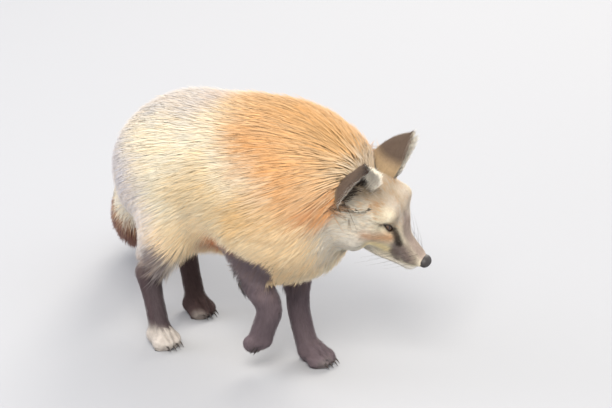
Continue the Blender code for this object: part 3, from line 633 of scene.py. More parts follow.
def marked(places, directions, parts_there, past):
    """The coat's colour at places on the skin, in linear light."""
    on_body, on_face = places + BODY_MIDDLE, in_head(places)
    on_body[:, 1], on_face[:, 1] = np.abs(on_body[:, 1]), np.abs(on_face[:, 1])
    x, y, z = on_body.T * 1.0
    # Slow waves make the edges of the marks uneven.
    on_body[:, 0] += 0.009 * np.sin(62 * z + 31 * y + 0.6) + 0.005 * np.sin(150 * z - 70 * x)
    on_body[:, 2] += 0.007 * np.sin(58 * x + 1.7) + 0.004 * np.sin(140 * x + 90 * y)
    colour = np.tile(linear(FLANK), (len(places), 1))
    for mark_colour, *mark in BODY_MARKS:
        colour = mixed(colour, mark_colour, patch(on_body, *mark) * ~np.isin(parts_there, FACE))
    for mark_colour, *mark in HEAD_MARKS:
        colour = mixed(colour, mark_colour, patch(on_face, *mark) * ~np.isin(parts_there, ("chest", "loin")))
    for starts, leg_colour, height, soft in LEGS:
        share = starting(parts_there, *starts) * (1 - ramp(places[:, 2], height - soft / 2, height + soft / 2))
        colour = mixed(colour, leg_colour, share)
    tail_root, tail_end = np.array(middle("tail_base")), np.array(middle("tail_tip"))
    along = (places - tail_root) @ (tail_end - tail_root) / ((tail_end - tail_root) @ (tail_end - tail_root))
    shares, hexes = zip(*TAIL_COLOURS)
    bands = np.array([linear(hex_colour) for hex_colour in hexes])
    tail = np.stack([np.interp(along, shares, bands[:, channel]) for channel in range(3)], axis=1)
    on_tail = starting(parts_there, "tail")[:, None]
    colour = np.where(on_tail, colour + ramp(along, -0.46, -0.38)[:, None] * (tail - colour), colour)
    for leg, (leg_colour, front_colour) in HIND_RIGHT.items():
        share = (parts_there == leg) * (1 - ramp(places[:, 2], 0.115, 0.150))
        colour = mixed(colour, leg_colour, share)
        share = share * ramp(directions[:, 0], -0.1, 0.5) * ramp(places[:, 2], 0.028, 0.045)
        colour = mixed(colour, front_colour, share)
    for mark_colour, *mark in PAW_MARKS:
        colour = mixed(colour, mark_colour, patch(places + BODY_MIDDLE, *mark))
    for name, (axes, root, side) in ear_frames.items():
        at = in_ear(name, places)
        t = up_ear(name, at)
        inside = ramp((directions @ axes)[:, 0], -0.30, -0.05) * ramp(t, 0.06, 0.22)
        half, widest, front, wall = leaf_at(name, np.clip(t, 0, 0.97), 0)
        inner_side = (-side * at[:, 1] / half).clip(-1, 1)  # 1 at the rim by the forehead
        dark_from = EARS[name]["dark_from"] + 0.13 * inner_side
        ear = mixed(linear(EAR_BASE), EAR_BACK, ramp(t - dark_from, 0, 0.24))
        ear = mixed(ear, EAR_INSIDE, inside)
        pale_from = 0.52 - 0.55 * t
        pale = np.maximum(ramp(inner_side, pale_from, pale_from + 0.28), ramp(-inner_side, 0.76, 0.90))
        if side > 0:
            pale = np.maximum(ramp(np.abs(inner_side), 0.25, 0.5), ramp(t, 0.45, 0.65))
        ear = mixed(ear, EAR_FRINGE, inside * pale)
        colour = np.where((parts_there == name)[:, None], ear, colour)
        # Painted shade in the ear's hollow, on the inside of its cup and on the head and neck before it.
        in_hollow = np.isin(parts_there, ("head", "neck")) | ((parts_there == name) & (inside > 0.5))
        colour = mixed(colour, HOLLOW_SHADE, patch(at * (1, -side, 1), *EAR_HOLLOW_SHADE) * in_hollow)
    rims = 1 - ramp(past, 0.0012, 0.0042)
    for side in (-1, 1):
        a, b, out = at_eye(places, side).T
        narrow = 0.0021 - 0.10 * (a - LIDS_LONG).clip(0, 0.012)
        line = np.exp(-((b / narrow) ** 2)) * ramp(out, -0.004, 0.002) * ramp(a, 0.006, 0.009)
        rims = np.maximum(rims, line * (1 - ramp(a, 0.0125, 0.0185)) * (np.abs(b) < 0.01))
    return mixed(colour, EYE_RIM, rims)


def filled(name, places, faces):
    """A mesh of triangles from arrays of points and of their numbers."""
    mesh = bpy.data.meshes.new(name)
    mesh.vertices.add(len(places))
    mesh.vertices.foreach_set("co", np.ascontiguousarray(places, np.float32).ravel())
    mesh.loops.add(faces.size)
    mesh.loops.foreach_set("vertex_index", np.ascontiguousarray(faces, np.int32).ravel())
    mesh.polygons.add(len(faces))
    mesh.polygons.foreach_set("loop_start", np.arange(0, faces.size, 3, dtype=np.int32))
    mesh.update(calc_edges=True)
    mesh.shade_smooth()
    return mesh


def store(mesh, name, values):
    """Linear colours, one for each point of the mesh."""
    values = np.hstack([values, np.ones((len(values), 4 - values.shape[1]))])
    attribute = mesh.attributes.new(name, "FLOAT_COLOR", "POINT")
    attribute.data.foreach_set("color", values.astype(np.float32).ravel())


mesh = filled("skin", points, triangles)
store(mesh, "marks", marked(points, normals, parts[part_of], past_rims))
skin.data = mesh
bpy.context.view_layer.objects.active = skin
skin.select_set(True)
bpy.ops.object.mode_set(mode="EDIT")
bpy.ops.mesh.select_all(action="SELECT")
mesh.uv_layers.new(name="OFBake")
bpy.ops.uv.smart_project(angle_limit=1.15, island_margin=0.002, scale_to_bounds=True)
bpy.ops.object.mode_set(mode="OBJECT")
corner_uvs = np.empty(len(triangles) * 6)
skin.data.uv_layers["OFBake"].data.foreach_get("uv", corner_uvs)
corner_uvs = corner_uvs.reshape(-1, 3, 2)


def node(material, kind, inputs=None, **settings):
    """Adds a shader node: its inputs by name as values or other nodes' outputs, and its settings."""
    made = material.node_tree.nodes.new("ShaderNode" + kind)
    for key, value in settings.items():
        setattr(made, key, value)
    for key, value in (inputs or {}).items():
        if isinstance(value, bpy.types.NodeSocket):
            material.node_tree.links.new(value, made.inputs[key])
        else:
            made.inputs[key].default_value = value
    return made


def new_material(name):
    material = bpy.data.materials.new(name)
    material.use_nodes = True
    material.node_tree.nodes.clear()
    return material


# Tanned hide with the woolly undercoat: darker than the hair over it, matt, and uneven.
WOOL_MM = 2.381  # from one clump of wool to the next
material = new_material("undercoat")
marks = node(material, "Attribute", attribute_name="marks")
place = node(material, "TexCoord")
wool = node(material, "TexNoise", {"Vector": place.outputs["Object"], "Scale": 1000 / WOOL_MM, "Detail": 4.0})
dark = {"Value": wool.outputs["Fac"], "From Min": 0.3, "From Max": 0.7, "To Min": 0.78, "To Max": 1.0}
dark = node(material, "MapRange", dark)
colour = {0: marks.outputs["Color"], "Scale": dark.outputs["Result"]}
colour = node(material, "VectorMath", colour, operation="SCALE")
bump = node(material, "Bump", {"Strength": 0.5, "Distance": 0.0008, "Height": wool.outputs["Fac"]})
hide = {"Base Color": colour.outputs["Vector"], "Roughness": 0.85, "Specular IOR Level": 0.15}
surface = node(material, "BsdfPrincipled", {**hide, "Normal": bump.outputs["Normal"]})
node(material, "OutputMaterial", {"Surface": surface.outputs["BSDF"]})
skin.data.materials.append(material)
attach(skin, "root")
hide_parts(*FLESH)

# ---------------------------------------------------------------- coat
# Guard hair in flat pointed tufts, each rooted in the skin and laid along the body over the next,
# drawn together in locks. 50 to 70 mm long on the back, neck and tail, and 6 on the muzzle.
rng = np.random.default_rng(11)
TUFTS = 181000
DENSITY = {  # how thick they stand beside one another, by the start of a solid's name
    "rump": 34, "loin": 34, "chest": 34, "neck": 38, "thigh": 38, "upper_arm": 38, "shank": 62,
    "forearm": 62, "hindpaw": 64, "forepaw": 64, "tail": 30, "head": 78, "muzzle": 130, "nose": 100,
    "lower_jaw": 110, "ear": 40,
}
NOSE_AT, NOSE_RADII = np.array((-0.0038, 0, -0.0026)), np.array((0.0090, 0.0116, 0.0080))
dense = sum(value * of(start) for start, value in DENSITY.items())
bare = (past_rims < 0.0007) | (in_mouth > 0.55)
bare |= (points[:, 2] < 0.0015) & (normals[:, 2] < -0.5)
by_nose = (in_head(points) - NOSE_AT - (0.0010, 0, 0)) / (NOSE_RADII + (0.0010, 0.0004, 0.0006))
bare |= np.linalg.norm(by_nose, axis=1) < 1.0
dense = dense * ~bare
corners = points[triangles]
areas = np.linalg.norm(np.cross(corners[:, 1] - corners[:, 0], corners[:, 2] - corners[:, 0]), axis=1) / 2
weights = areas * 1e4 * dense[triangles].min(axis=1)
heap = np.cumsum(weights) / weights.sum()
picks = np.searchsorted(heap, (np.arange(TUFTS) + rng.random(TUFTS)) / TUFTS)
picks = np.minimum(picks, len(triangles) - 1)
shares = rng.dirichlet((1, 1, 1), TUFTS)


def on_skin(values):
    return np.einsum("nk,nk...->n...", shares, values[triangles[picks]])


root = on_skin(points)
root_normal = unit(on_skin(normals))
root_lie = unit(on_skin(lie))
root_depth = on_skin(depth)
root_past = on_skin(past_rims)
root_part = parts[part_of[triangles[picks][np.arange(TUFTS), shares.argmax(axis=1)]]]
root_uv = np.einsum("nk,nkd->nd", shares, corner_uvs[picks])

# Slow waves turn the lie of the hair a little, and each tuft strays from its neighbours.
wave = sum(
    np.sin(root @ np.array(direction) + phase)
    for direction, phase in (((70, 40, -50), 0.3), ((-45, 95, 60), 1.9), ((120, -60, 90), 4.1))
)
WAVE, STRAY = 0.10, 0.11  # radians
stray = WAVE * wave / 1.7 + STRAY * rng.standard_normal(TUFTS)
across = np.cross(root_normal, root_lie)
root_lie = root_lie * np.cos(stray)[:, None] + across * np.sin(stray)[:, None]

rise = root_depth * rng.uniform(0.70, 1.06, TUFTS)
SHORTEST, LONG_PER_DEPTH, WIDE_PER_LONG = 0.0020, 2.6, 0.0205
long = (SHORTEST + LONG_PER_DEPTH * root_depth) * (1 + 0.22 * rng.standard_normal(TUFTS).clip(-2, 2))
long = np.minimum(long, 0.0022 + 0.9 * root_past)
# It is cut short where the trunk ends over the legs, so that the legs come out clear of it.
TRIM = 0.66  # the share of its length that goes
at_x, at_z = root[:, 0] + BODY_MIDDLE[0], root[:, 2]
on_trunk = np.isin(root_part, ("chest", "neck", "loin", "upper_arm_right", "upper_arm_left"))
trimmed = on_trunk * ramp(at_x, 0.15, 0.19) * (1 - ramp(at_z, 0.200, 0.250))
trimmed = np.maximum(trimmed, starting(root_part, "thigh", "rump") * (1 - ramp(at_z, 0.140, 0.190)))
long *= 1 - TRIM * trimmed
# A fringe of long pale hair stands along the inner rim of each ear.
FRINGE_LONG, FRINGE_HIGH = 0.018, 0.0070
in_ears = np.isin(root_part, list(EARS))
for name, (axes, ear_root, side) in ear_frames.items():
    at = in_ear(name, root)
    t = np.clip(up_ear(name, at), 0, 0.97)
    half, widest, front, wall = leaf_at(name, t, 0)
    inner_side = ramp(-side * at[:, 1] / half, 0.15, 0.55) * (1 - ramp(t, 0.72, 0.95))
    fringed = inner_side * ramp((root_normal @ axes)[:, 0], -0.1, 0.3) * (root_part == name)
    sweep = unit(np.array((0.40, 0.22 * side, 0.85)))
    root_lie = unit(root_lie + (1.6 * fringed)[:, None] * (axes @ sweep))
    long = long + FRINGE_LONG * fringed * rng.uniform(0.6, 1.1, TUFTS)
    rise = rise + FRINGE_HIGH * fringed * rng.uniform(0.3, 1.1, TUFTS)
    root_normal = unit(root_normal + fringed[:, None] * (0.5 * axes[:, 0] + np.array((0, 0, 0.7))))
wide = 0.00034 + WIDE_PER_LONG * long
rise = np.minimum(rise, 0.25 * long + 0.05 * root_past)
# It stands higher on the crown, and here and there along the back.
from_crown = (in_head(points) - (-0.105, 0, 0.058)) / (0.034, 0.040, 0.024)
CROWN_HIGH, STAND_HIGH = 0.0030, 0.0045
rise = rise + CROWN_HIGH * on_skin(np.exp(-(from_crown**2).sum(1))) * rng.uniform(0, 1, TUFTS)
stand = (rng.random(TUFTS) < 0.10) * ramp(root_depth, 0.008, 0.016) * ramp(root_normal[:, 2], 0.2, 0.8)
rise = rise + STAND_HIGH * stand


def nearest_in(places):
    """Something that finds the nearest of some places."""
    found = KDTree(len(places))
    for index, place in enumerate(places):
        found.insert(place, index)
    found.balance()
    return lambda others: np.array([found.find(other)[1] for other in others])


# Each tuft goes from its root, a little under the skin, by its middle to its tip.
ROOT_SUNK = 0.0008
nearest_skin = nearest_in(points)
path = np.empty((TUFTS, 3, 3))
facing = np.empty((TUFTS, 3, 3))
path[:, 0] = root - root_normal * ROOT_SUNK
facing[:, 0] = root_normal
place, heading = root, root_lie
for step, lift in ((1, 0.72), (2, 1.0)):
    place = place + heading * (long / 2)[:, None]
    nearest = nearest_skin(place)
    up = unit(np.where(in_ears[:, None], facing[:, step - 1], normals[nearest] + 0.35 * facing[:, step - 1]))
    place = place - up * (((place - points[nearest]) * up).sum(1) * ~in_ears)[:, None]
    follow = (heading * lie[nearest]).sum(1).clip(0) * ~in_ears
    heading = unit(heading + 0.5 * lie[nearest] * follow[:, None])
    heading = unit(heading - up * (heading * up).sum(1, keepdims=True))
    facing[:, step] = up
    path[:, step] = place + up * (rise * lift)[:, None]

# Under the belly, chest and tail the tips hang.
MIDDLE_HANGS, TIP_HANGS, BELLY_HANGS = 0.0015, 0.0090, 0.0120
hang = ramp(-root_normal[:, 2], -0.15, 0.7) * ramp(root_depth, 0.006, 0.016) * rng.uniform(0.3, 1.0, TUFTS)
hang *= 1 - trimmed
path[:, 1, 2] -= MIDDLE_HANGS * hang
under_belly = ramp(at_x, 0.06, 0.11) * (1 - ramp(at_x, 0.17, 0.22)) * (root_part == "loin")
path[:, 2, 2] -= (TIP_HANGS + BELLY_HANGS * under_belly) * hang
path[:, :, 2] = np.maximum(path[:, :, 2], 0.0004)

# The last hair of the tail runs on past its tip.
tail_lie = towards("tail_middle", "tail_tip")
ahead = (ramp(root_normal @ tail_lie, 0.10, 0.75) * (root_part == "tail_tip"))[:, None]
past_tip = np.minimum(long, 1.1 * root_depth + 0.003)
for step, share in ((1, 0.5), (2, 1.0)):
    straight = root + (tail_lie + 0.15 * share * root_normal) * (past_tip * share)[:, None]
    path[:, step] += ahead * (straight - path[:, step])

# Locks: tufts lean towards the tip of the nearest leading tuft.
LOCK, LOCK_PULL = 9, 0.38  # tufts to a lock, and how far the tips are drawn to its leader's
leaders = np.flatnonzero(rng.random(TUFTS) < 1 / LOCK)
lock = nearest_in(root[leaders])(root)
leader = leaders[lock]
pull = LOCK_PULL * ramp(root_depth, 0.001, 0.008) * rng.uniform(0.4, 1.0, TUFTS)
for step, share in ((1, 0.30), (2, 1.0)):
    path[:, step] += (pull * share)[:, None] * (path[leader, step] - path[:, step])

# No tuft crosses an eye.
in_eye = np.zeros(TUFTS, bool)
for side in (-1, 1):
    for step in (1, 2):
        a, b, out = at_eye(path[:, step], side).T
        in_eye |= (past_lids(a, b) < 0.0003) & (np.abs(out - 0.009) < 0.012)

side = unit(np.cross(facing, np.gradient(path, axis=1)))
breadth = np.stack([0.55 * wide, wide], axis=1)[:, :, None] / 2
rings = np.stack(
    [
        path[:, :2] - side[:, :2] * breadth,
        path[:, :2] + side[:, :2] * breadth,
        path[:, :2] + facing[:, :2] * breadth * 0.75,
    ],
    axis=2,
).reshape(TUFTS, 6, 3)
tuft_points = np.concatenate([rings, path[:, 2:]], axis=1)
# A long tuft bends in its middle. A short one is a straight spike, of the first ring and the tip.
TUFT_PATCH = 0.003
KINDS = (  # its points, its faces, the place of each point on the tuft's own patch of the map
    (
        (0, 1, 2, 3, 4, 5, 6),
        (
            (0, 2, 1), (0, 1, 3), (1, 4, 3), (1, 2, 4), (2, 5, 4),
            (2, 0, 5), (0, 3, 5), (3, 4, 6), (4, 5, 6), (5, 3, 6),
        ),
        ((0, 0), (1, 0), (0.5, 0.15), (0.1, 0.5), (0.9, 0.5), (0.5, 0.62), (0.5, 1)),
    ),
    ((0, 1, 2, 6), ((0, 2, 1), (0, 1, 3), (1, 2, 3), (2, 0, 3)), ((0, 0), (1, 0), (0.5, 0.3), (0.5, 1))),
)
LEVEL = np.array([0, 0, 0, 1, 1, 1, 2])  # the step of the path that each point belongs to
BENDING = 0.0115  # the length of the shortest tuft that bends
short = long < BENDING
tuft_points[short, :3] += 0.45 * (tuft_points[short, :3] - path[short, :1])

# Its colour is the skin's near its middle, with a tone for each lock. Some locks of the brow are
# rusty and some pale, and those of the muzzle are mottled.
jitter = rng.standard_normal((TUFTS, 3)) * (0.15 * root_depth + 0.0006)[:, None]
tuft_colour = marked(0.4 * root + 0.6 * path[:, 1] + jitter, root_normal, root_part, root_past)
strand = rng.random(TUFTS)
lock_tone = rng.random(len(leaders))[lock]
warmth = (0.6 * lock_tone + 0.4 * rng.random(TUFTS) - 0.42) * ramp(root_depth, 0.004, 0.012)
root_at_head = in_head(root)
on_brow = ramp(root_at_head[:, 2], 0.015, 0.035) * ramp(root_at_head[:, 0], -0.128, -0.112)
on_brow *= root_part == "head"
rusty = on_brow * ramp(lock_tone, 0.70, 0.80) * rng.uniform(0.3, 1.0, TUFTS)
TONES = (  # how much of each there is, and what it does to red, green and blue
    (warmth.clip(-0.10), (0.05, -0.16, -0.50)),
    (rusty, (-0.10, -0.42, -0.75)),
    (on_brow * ramp(0.35 - lock_tone, 0, 0.10), (0.13, 0.15, 0.17)),
    ((root_part == "muzzle") * (lock_tone - 0.5), (-0.50, -0.50, -0.50)),
)
for share, change in TONES:
    tuft_colour *= np.exp(share[:, None] * np.array(change))

# Hair: matt, with a soft sheen. Each tuft and each lock has its own tone, darker at the root.
fur = new_material("winter fur")
marks = node(fur, "Attribute", attribute_name="marks")
hair = node(fur, "Attribute", attribute_name="hair")
split = node(fur, "SeparateColor", {"Color": hair.outputs["Color"]})
tone = 1.0
for channel, darkest, palest in (("Red", 0.90, 1.10), ("Green", 0.92, 1.08), ("Blue", 0.88, 1.04)):
    own = node(fur, "MapRange", {"Value": split.outputs[channel], "To Min": darkest, "To Max": palest})
    tone = node(fur, "Math", {0: tone, 1: own.outputs["Result"]}, operation="MULTIPLY").outputs["Value"]
colour = node(fur, "VectorMath", {0: marks.outputs["Color"], "Scale": tone}, operation="SCALE")
hairs = {"Base Color": colour.outputs["Vector"], "Roughness": 0.72, "Specular IOR Level": 0.22}
surface = node(fur, "BsdfPrincipled", {**hairs, "Sheen Weight": 0.12, "Sheen Roughness": 0.4})
node(fur, "OutputMaterial", {"Surface": surface.outputs["BSDF"]})

COATS = {  # piece: slot, starts of the solids' names, and whether it is in two halves
    "rump": ("fur_pale", ("rump",), True),
    "loin": ("fur_pale", ("loin",), True),
    "chest": ("fur_golden", ("chest",), True),
    "neck": ("fur_golden", ("neck",), True),
    "thighs": ("fur_pale", ("thigh",), False),
    "upper_arms": ("fur_dark", ("upper_arm",), False),
    "hind_legs": ("fur_dark", ("shank", "hindpaw"), False),
    "forelegs": ("fur_dark", ("forearm", "forepaw"), False),
    "tail": ("fur_tail", ("tail",), False),
    "head": ("fur_golden", ("head",), True),
    "muzzle": ("fur_white", ("muzzle", "nose", "lower_jaw"), False),
    "ears": ("fur_dark", ("ear",), False),
}
coats = []
for name, (slot, starts, halved) in COATS.items():
    halves = (("_right", -1), ("_left", 1)) if halved else (("", 0),)
    coats += [("coat_" + name + ending, slot, starts, half) for ending, half in halves]
SHARP, SHARP_EARS = 0.22, 0.85  # how much each tuft shows of its own facets, and not of the skin's
body_side = np.where(starting(root_part, "head", "neck"), root_at_head[:, 1], root[:, 1] + BODY_MIDDLE[1])
for name, slot, starts, half in coats:
    chosen = starting(root_part, *starts)
    if half:
        chosen &= body_side * half > 0
    places, faces, uvs, colours, tones, soft, count = [], [], [], [], [], [], 0
    for (kept, corners, spots), of_kind in zip(KINDS, (~short, short)):
        some = np.flatnonzero(chosen & ~in_eye & of_kind)
        kept = np.array(kept)
        places.append(tuft_points[some][:, kept].reshape(-1, 3))
        first = count + len(kept) * np.arange(len(some))
        faces.append((np.array(corners)[None] + first[:, None, None]).reshape(-1, 3))
        count += len(kept) * len(some)
        at_root = np.clip(root_uv[some], 0.001, 0.996)[:, None]
        uvs.append((at_root + np.array(spots)[None] * TUFT_PATCH).reshape(-1, 2))
        colours.append(np.repeat(tuft_colour[some], len(kept), axis=0))
        tone = [np.repeat(values[some], len(kept)) for values in (strand, lock_tone)]
        tones.append(np.stack([*tone, np.tile(LEVEL[kept] / 2, len(some))], axis=1))
        soft.append(facing[some][:, LEVEL[kept]].reshape(-1, 3))
    faces = np.vstack(faces)
    mesh = filled(name, np.vstack(places), faces)
    store(mesh, "marks", np.vstack(colours))
    store(mesh, "hair", np.vstack(tones))
    layer = mesh.uv_layers.new(name="OFBake")
    layer.data.foreach_set("uv", np.vstack(uvs)[faces.ravel()].astype(np.float32).ravel())
    own = np.empty(len(mesh.vertices) * 3, np.float32)
    mesh.vertices.foreach_get("normal", own)
    sharp = SHARP_EARS if name == "coat_ears" else SHARP
    soft = unit(sharp * own.reshape(-1, 3) + (1 - sharp) * np.vstack(soft))
    mesh.normals_split_custom_set_from_vertices(soft.tolist())
    coat = new_piece(name, mesh)
    mesh.materials.append(fur)
    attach(coat, "root")

# ---------------------------------------------------------------- eyes
# Glass eyes as a taxidermist sets them: an amber iris with an upright slit, dark at its rim, under
# a clear bulging front. Each sits in the skin behind its lids.
IRIS = 0.0066  # its radius
SLIT_WIDE, SLIT_TALL = 0.00085, 0.0042  # half sizes of the pupil
BULGE = 0.0007
AMBER, AMBER_RAYS, AMBER_RIM, PUPIL, BALL = "4E3018", "74522A", "3A2410", "050403", "1D1410"

# Blown glass, glossy over the painted iris.
glass = new_material("glass eye")
marks = node(glass, "Attribute", attribute_name="marks")
gloss = {"Roughness": 0.28, "Coat Weight": 1.0, "Coat Roughness": 0.02, "Coat IOR": 1.40}
surface = node(glass, "BsdfPrincipled", {"Base Color": marks.outputs["Color"], **gloss})
node(glass, "OutputMaterial", {"Surface": surface.outputs["BSDF"]})


def ball(meridians, parallels):
    """A ball of radius 1 with its poles on Z."""
    shape = bmesh.new()
    bmesh.ops.create_uvsphere(shape, u_segments=meridians, v_segments=parallels, radius=1)
    return taken(shape)


for side, name in ((-1, "eye_right"), (1, "eye_left")):
    places, faces = ball(120, 86)
    # Three quarters of the parallels are drawn forward, over the iris.
    out = np.interp(np.arccos(places[:, 2].clip(-1, 1)), (0, 0.75 * np.pi, np.pi), (0, 0.88, np.pi))
    turn = np.arctan2(places[:, 1], places[:, 0])
    places = np.stack([np.sin(out) * np.cos(turn), np.sin(out) * np.sin(turn), np.cos(out)], axis=1)
    places = places * (EYE_RADIUS - 0.0001 + BULGE * np.exp(-((out / 0.55) ** 2)))[:, None]
    # The pupil stands upright in the world, as it does in a living fox.
    upward = np.array((0, 0, 1)) @ HEAD_AXES * (1, side, 1) @ EYE_FRAME.T
    upward = upward[:2] / np.linalg.norm(upward[:2])
    tall, wide_off = places[:, :2] @ upward, places[:, :2] @ np.array((upward[1], -upward[0]))
    away = np.hypot(places[:, 0], places[:, 1])
    rays = 0.5 + 0.25 * np.sin(37 * turn + 1.3) + 0.25 * np.sin(61 * turn + 4.0)
    colour = mixed(linear(AMBER), AMBER_RAYS, rays * ramp(away, 0.0015, 0.0045))
    colour = mixed(colour, AMBER_RIM, ramp(away, IRIS - 0.0022, IRIS - 0.0003))
    colour = mixed(colour, PUPIL, 1 - ramp(np.hypot(wide_off / SLIT_WIDE, tall / SLIT_TALL), 0.90, 1.08))
    colour = mixed(colour, BALL, np.maximum(ramp(away, IRIS, IRIS + 0.0004), places[:, 2] < 0.003))
    mesh = filled(name, from_eye(places, side), faces if side < 0 else faces[:, ::-1])
    store(mesh, "marks", colour)
    mesh.materials.append(glass)
    piece = new_piece("glass_" + name, mesh)
    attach(piece, "root")
    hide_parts(name)

# ---------------------------------------------------------------- nose pad
# The bare black nose: a rounded pad of pebbled, moist leather with two comma-shaped nostrils and a
# groove between them down to the lip.
NOSE_BLACK, NOSTRIL_SHADE = "35302F", "0A0808"
PEBBLE_MM = 0.6667  # from one pebble of the leather to the next

# Moist leather: a low gloss over fine pebbles.
leather = new_material("moist nose leather")
place = node(leather, "TexCoord")
pebbles = {"Vector": place.outputs["Object"], "Scale": 1000 / PEBBLE_MM}
pebbles = node(leather, "TexVoronoi", pebbles)
marks = node(leather, "Attribute", attribute_name="marks")
bump = {"Strength": 0.55, "Distance": 0.0003, "Height": pebbles.outputs["Distance"]}
bump = node(leather, "Bump", bump, invert=True)
pad = {"Base Color": marks.outputs["Color"], "Roughness": 0.42, "Specular IOR Level": 0.5}
surface = node(leather, "BsdfPrincipled", {**pad, "Normal": bump.outputs["Normal"]})
node(leather, "OutputMaterial", {"Surface": surface.outputs["BSDF"]})

places, faces = ball(140, 90)
x, y, z = places[:, 2], places[:, 0], places[:, 1]
pad = np.stack([x, y, z], axis=1)
squared = pad * (1 + 0.10 * (z > 0) * z * (1 - y**2))[:, None]
dent = np.zeros(len(pad))
for side in (-1, 1):
    nostril = (pad - np.array((0.80, side * 0.50, -0.02))) / np.array((0.9, 0.20, 0.24))
    wing = (pad - np.array((0.50, side * 0.84, -0.18))) / np.array((0.9, 0.26, 0.10))
    dent = np.maximum(dent, np.exp(-(nostril**2).sum(1)))
    dent = np.maximum(dent, 0.8 * np.exp(-(wing**2).sum(1)))
groove = np.exp(-((y / 0.07) ** 2)) * (1 - ramp(z, 0.0, 0.5)) * ramp(x, 0.1, 0.5)
places = NOSE_AT + squared * NOSE_RADII * (1 - 0.34 * dent - 0.07 * groove)[:, None]
mesh = filled("nose_pad", from_head(places), faces)
# The nostrils and their wings are dents, painted near black as the shade inside the openings.
store(mesh, "marks", mixed(linear(NOSE_BLACK), NOSTRIL_SHADE, 0.9 * dent))
mesh.materials.append(leather)
nose_pad = new_piece("nose_pad", mesh)
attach(nose_pad, "root")

# ---------------------------------------------------------------- claws
# Four curved horn claws on each paw, blunt from walking. They are cast in dark resin, and their
# roots are pinned into the ends of the toes.
CLAW_LONG, CLAW_THICK, CLAW_DROOP = 0.0115, 0.0017, 0.0068
CLAW_SUNK = 0.0040
CLAW_PLACES = (-0.0125, -0.0045, 0.0045, 0.0125)  # across the paw

# Cast horn: a dull gloss.
horn = new_material("dark claw horn")
look = {"Base Color": (*linear("3B322D"), 1), "Roughness": 0.45, "Specular IOR Level": 0.4}
surface = node(horn, "BsdfPrincipled", look)
node(horn, "OutputMaterial", {"Surface": surface.outputs["BSDF"]})

skin_surface = tree_of_skin(len(triangles))
PAWS = {  # the way the toes point
    "hindpaw_right": (1, -0.05, 0),
    "hindpaw_left": (1, 0.0, 0),
    "forepaw_left": (1, 0.05, 0),
    "forepaw_right": towards("forearm_right", "forepaw_right"),
}


def tapered(spine, radii, sides=8):
    """A closed round rod along a line of places, with a radius at each."""
    spine, radii, last = np.asarray(spine, float), np.asarray(radii, float), len(spine) - 1
    rod = bmesh.new()
    bmesh.ops.create_cone(rod, cap_ends=True, segments=sides, radius1=1, radius2=1, depth=last)
    lengthwise = [edge for edge in rod.edges if abs(edge.verts[0].co.z - edge.verts[1].co.z) > 0.5]
    bmesh.ops.subdivide_edges(rod, edges=lengthwise, cuts=last - 1)
    places, faces = taken(rod)
    step = np.rint(places[:, 2] + last / 2).astype(int)
    ahead = unit(np.gradient(spine, axis=0))
    across = unit(np.cross(ahead, np.array((0.13, 0.31, 0.94))))
    up = np.cross(ahead, across)
    off = across[step] * places[:, :1] + up[step] * places[:, 1:2]
    return spine[step] + off * radii[step, None], faces


def together(name, rods):
    """One mesh of several rods."""
    counts = np.cumsum([0] + [len(places) for places, faces in rods])
    faces = [faces + count for (places, faces), count in zip(rods, counts)]
    return filled(name, np.vstack([places for places, faces in rods]), np.vstack(faces))


rods = []
for paw, ahead in PAWS.items():
    ahead = unit(np.array(ahead, float))
    lifted = paw not in STANDING_PAWS
    for off in CLAW_PLACES:
        start = np.array(middle(paw)) + ahead * 0.09 + (0, off, 0)
        if not lifted:
            start[2] = 0.0095
        found = skin_surface.ray_cast(Vector(start), Vector(-ahead), 0.12)[0]
        if found is None:
            continue
        t = np.linspace(0, 1, 9)[:, None]
        droop = unit(np.array((-0.9, 0, -0.4))) if lifted else np.array((0, 0, -1.0))
        spine = np.array(found) - ahead * CLAW_SUNK + ahead * t * CLAW_LONG + droop * (CLAW_DROOP * t**2)
        if not lifted:
            spine[:, 2] = np.maximum(spine[:, 2], 0.0012)
        rods.append(tapered(spine, CLAW_THICK * (1 - t[:, 0] ** 1.6) + 0.00012))
mesh = together("claws", rods)
mesh.materials.append(horn)
claws = new_piece("claws", mesh)
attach(claws, "root")

# ---------------------------------------------------------------- whiskers
# Stiff tapering bristles in three rows on each side of the muzzle, sweeping out and back. They are
# drawn nylon, glued into pricked holes.
WHISKER_THICK = 0.00022  # its radius at the root
WHISKER_ROWS = (  # height in the head's frame, then places along the muzzle
    (0.0055, (-0.018, -0.027, -0.036)),
    (0.0010, (-0.015, -0.023, -0.032, -0.041)),
    (-0.0040, (-0.013, -0.021, -0.030, -0.039)),
)

# Nylon bristle, smooth and dark.
bristle = new_material("stiff whisker")
surface = node(bristle, "BsdfPrincipled", {"Base Color": (*linear("4A403A"), 1), "Roughness": 0.5})
node(bristle, "OutputMaterial", {"Surface": surface.outputs["BSDF"]})

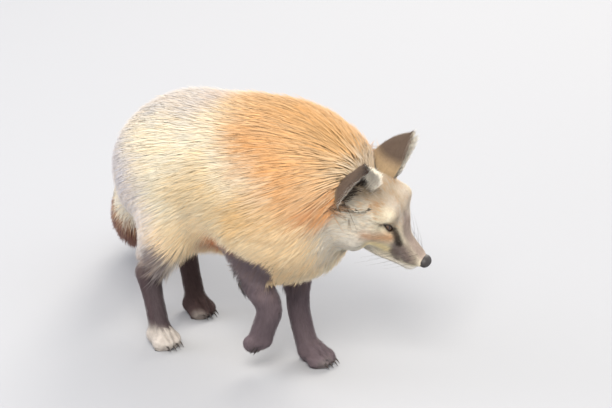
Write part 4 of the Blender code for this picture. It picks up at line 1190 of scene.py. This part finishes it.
rods = []
for side in (-1, 1):
    for row, (height, stations) in enumerate(WHISKER_ROWS):
        for station in stations:
            start = from_head((station, side * 0.06, height))
            inward = Vector(from_head((0, -side, 0)) - from_head((0, 0, 0)))
            found = skin_surface.ray_cast(Vector(start), inward, 0.08)[0]
            if found is None:
                continue
            length = (0.030 + 0.55 * -station) * rng.uniform(0.85, 1.15)
            t = np.linspace(0, 1, 12)[:, None]
            out = np.array((-0.35 - 0.10 * row, side * 0.90, 0.10 - 0.22 * row + rng.uniform(-0.08, 0.08)))
            bend = np.array((-0.55, 0, -0.30 - 0.10 * row)) * (0.45 * length)
            at = in_head(np.array(found)) - (0, 0.001 * side, 0) + t * unit(out) * length + t**2 * bend
            rods.append(tapered(from_head(at), WHISKER_THICK * (1 - 0.85 * t[:, 0]), 5))
mesh = together("whiskers", rods)
mesh.materials.append(bristle)
whiskers = new_piece("whiskers", mesh)
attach(whiskers, "root")

# ---------------------------------------------------------------- floor, light and camera
# A pale studio floor under three large soft lamps and an even sky. The camera is a long lens that
# looks down on the animal's right side.
bpy.ops.mesh.primitive_plane_add(size=14)
floor = bpy.context.object
floor.name = "floor"
# Matt painted board, so that it takes a soft shadow and no shine.
material = new_material("pale floor")
surface = node(material, "BsdfPrincipled", {"Base Color": (*linear("A9AAAD"), 1), "Roughness": 0.9})
node(material, "OutputMaterial", {"Surface": surface.outputs["BSDF"]})
floor.data.materials.append(material)

world = bpy.data.worlds.new("soft light")
world.use_nodes = True
world.node_tree.nodes["Background"].inputs["Color"].default_value = (*linear("F1F2F5"), 1)
world.node_tree.nodes["Background"].inputs["Strength"].default_value = 1.22
bpy.context.scene.world = world


def area_light(name, place, target, size, power, hex_colour):
    light = bpy.data.lights.new(name, "AREA")
    light.size, light.energy, light.color = size, power, tuple(linear(hex_colour))
    obj = bpy.data.objects.new(name, light)
    obj.location = place
    obj.rotation_euler = (Vector(place) - Vector(target)).to_track_quat("Z", "Y").to_euler()
    bpy.context.scene.collection.objects.link(obj)


area_light("key", (1.6, -2.4, 3.2), (0, 0, 0.2), 1.6, 150, "FFFAF2")
area_light("fill", (-2.8, -1.8, 2.0), (0, 0, 0.2), 2.2, 40, "F4F4FF")
area_light("back", (-0.8, 2.6, 2.6), (0, 0, 0.3), 1.6, 80, "FFF8EC")

camera = bpy.data.objects.new("camera", bpy.data.cameras.new("camera"))
camera.data.lens, camera.data.sensor_width = 155.1, 36  # mm
across = Vector((math.cos(math.radians(40)), math.sin(math.radians(40)), 0))
back = Vector((0.596, -0.710, 0.375)).normalized()
up = back.cross(across).normalized()
turn = Matrix((up.cross(back), up, back)).transposed()
camera.matrix_world = Matrix.Translation((2.40195, -2.71205, 1.6593)) @ turn.to_4x4()
bpy.context.scene.collection.objects.link(camera)
bpy.context.scene.camera = camera
bpy.context.scene.view_settings.view_transform = "Standard"

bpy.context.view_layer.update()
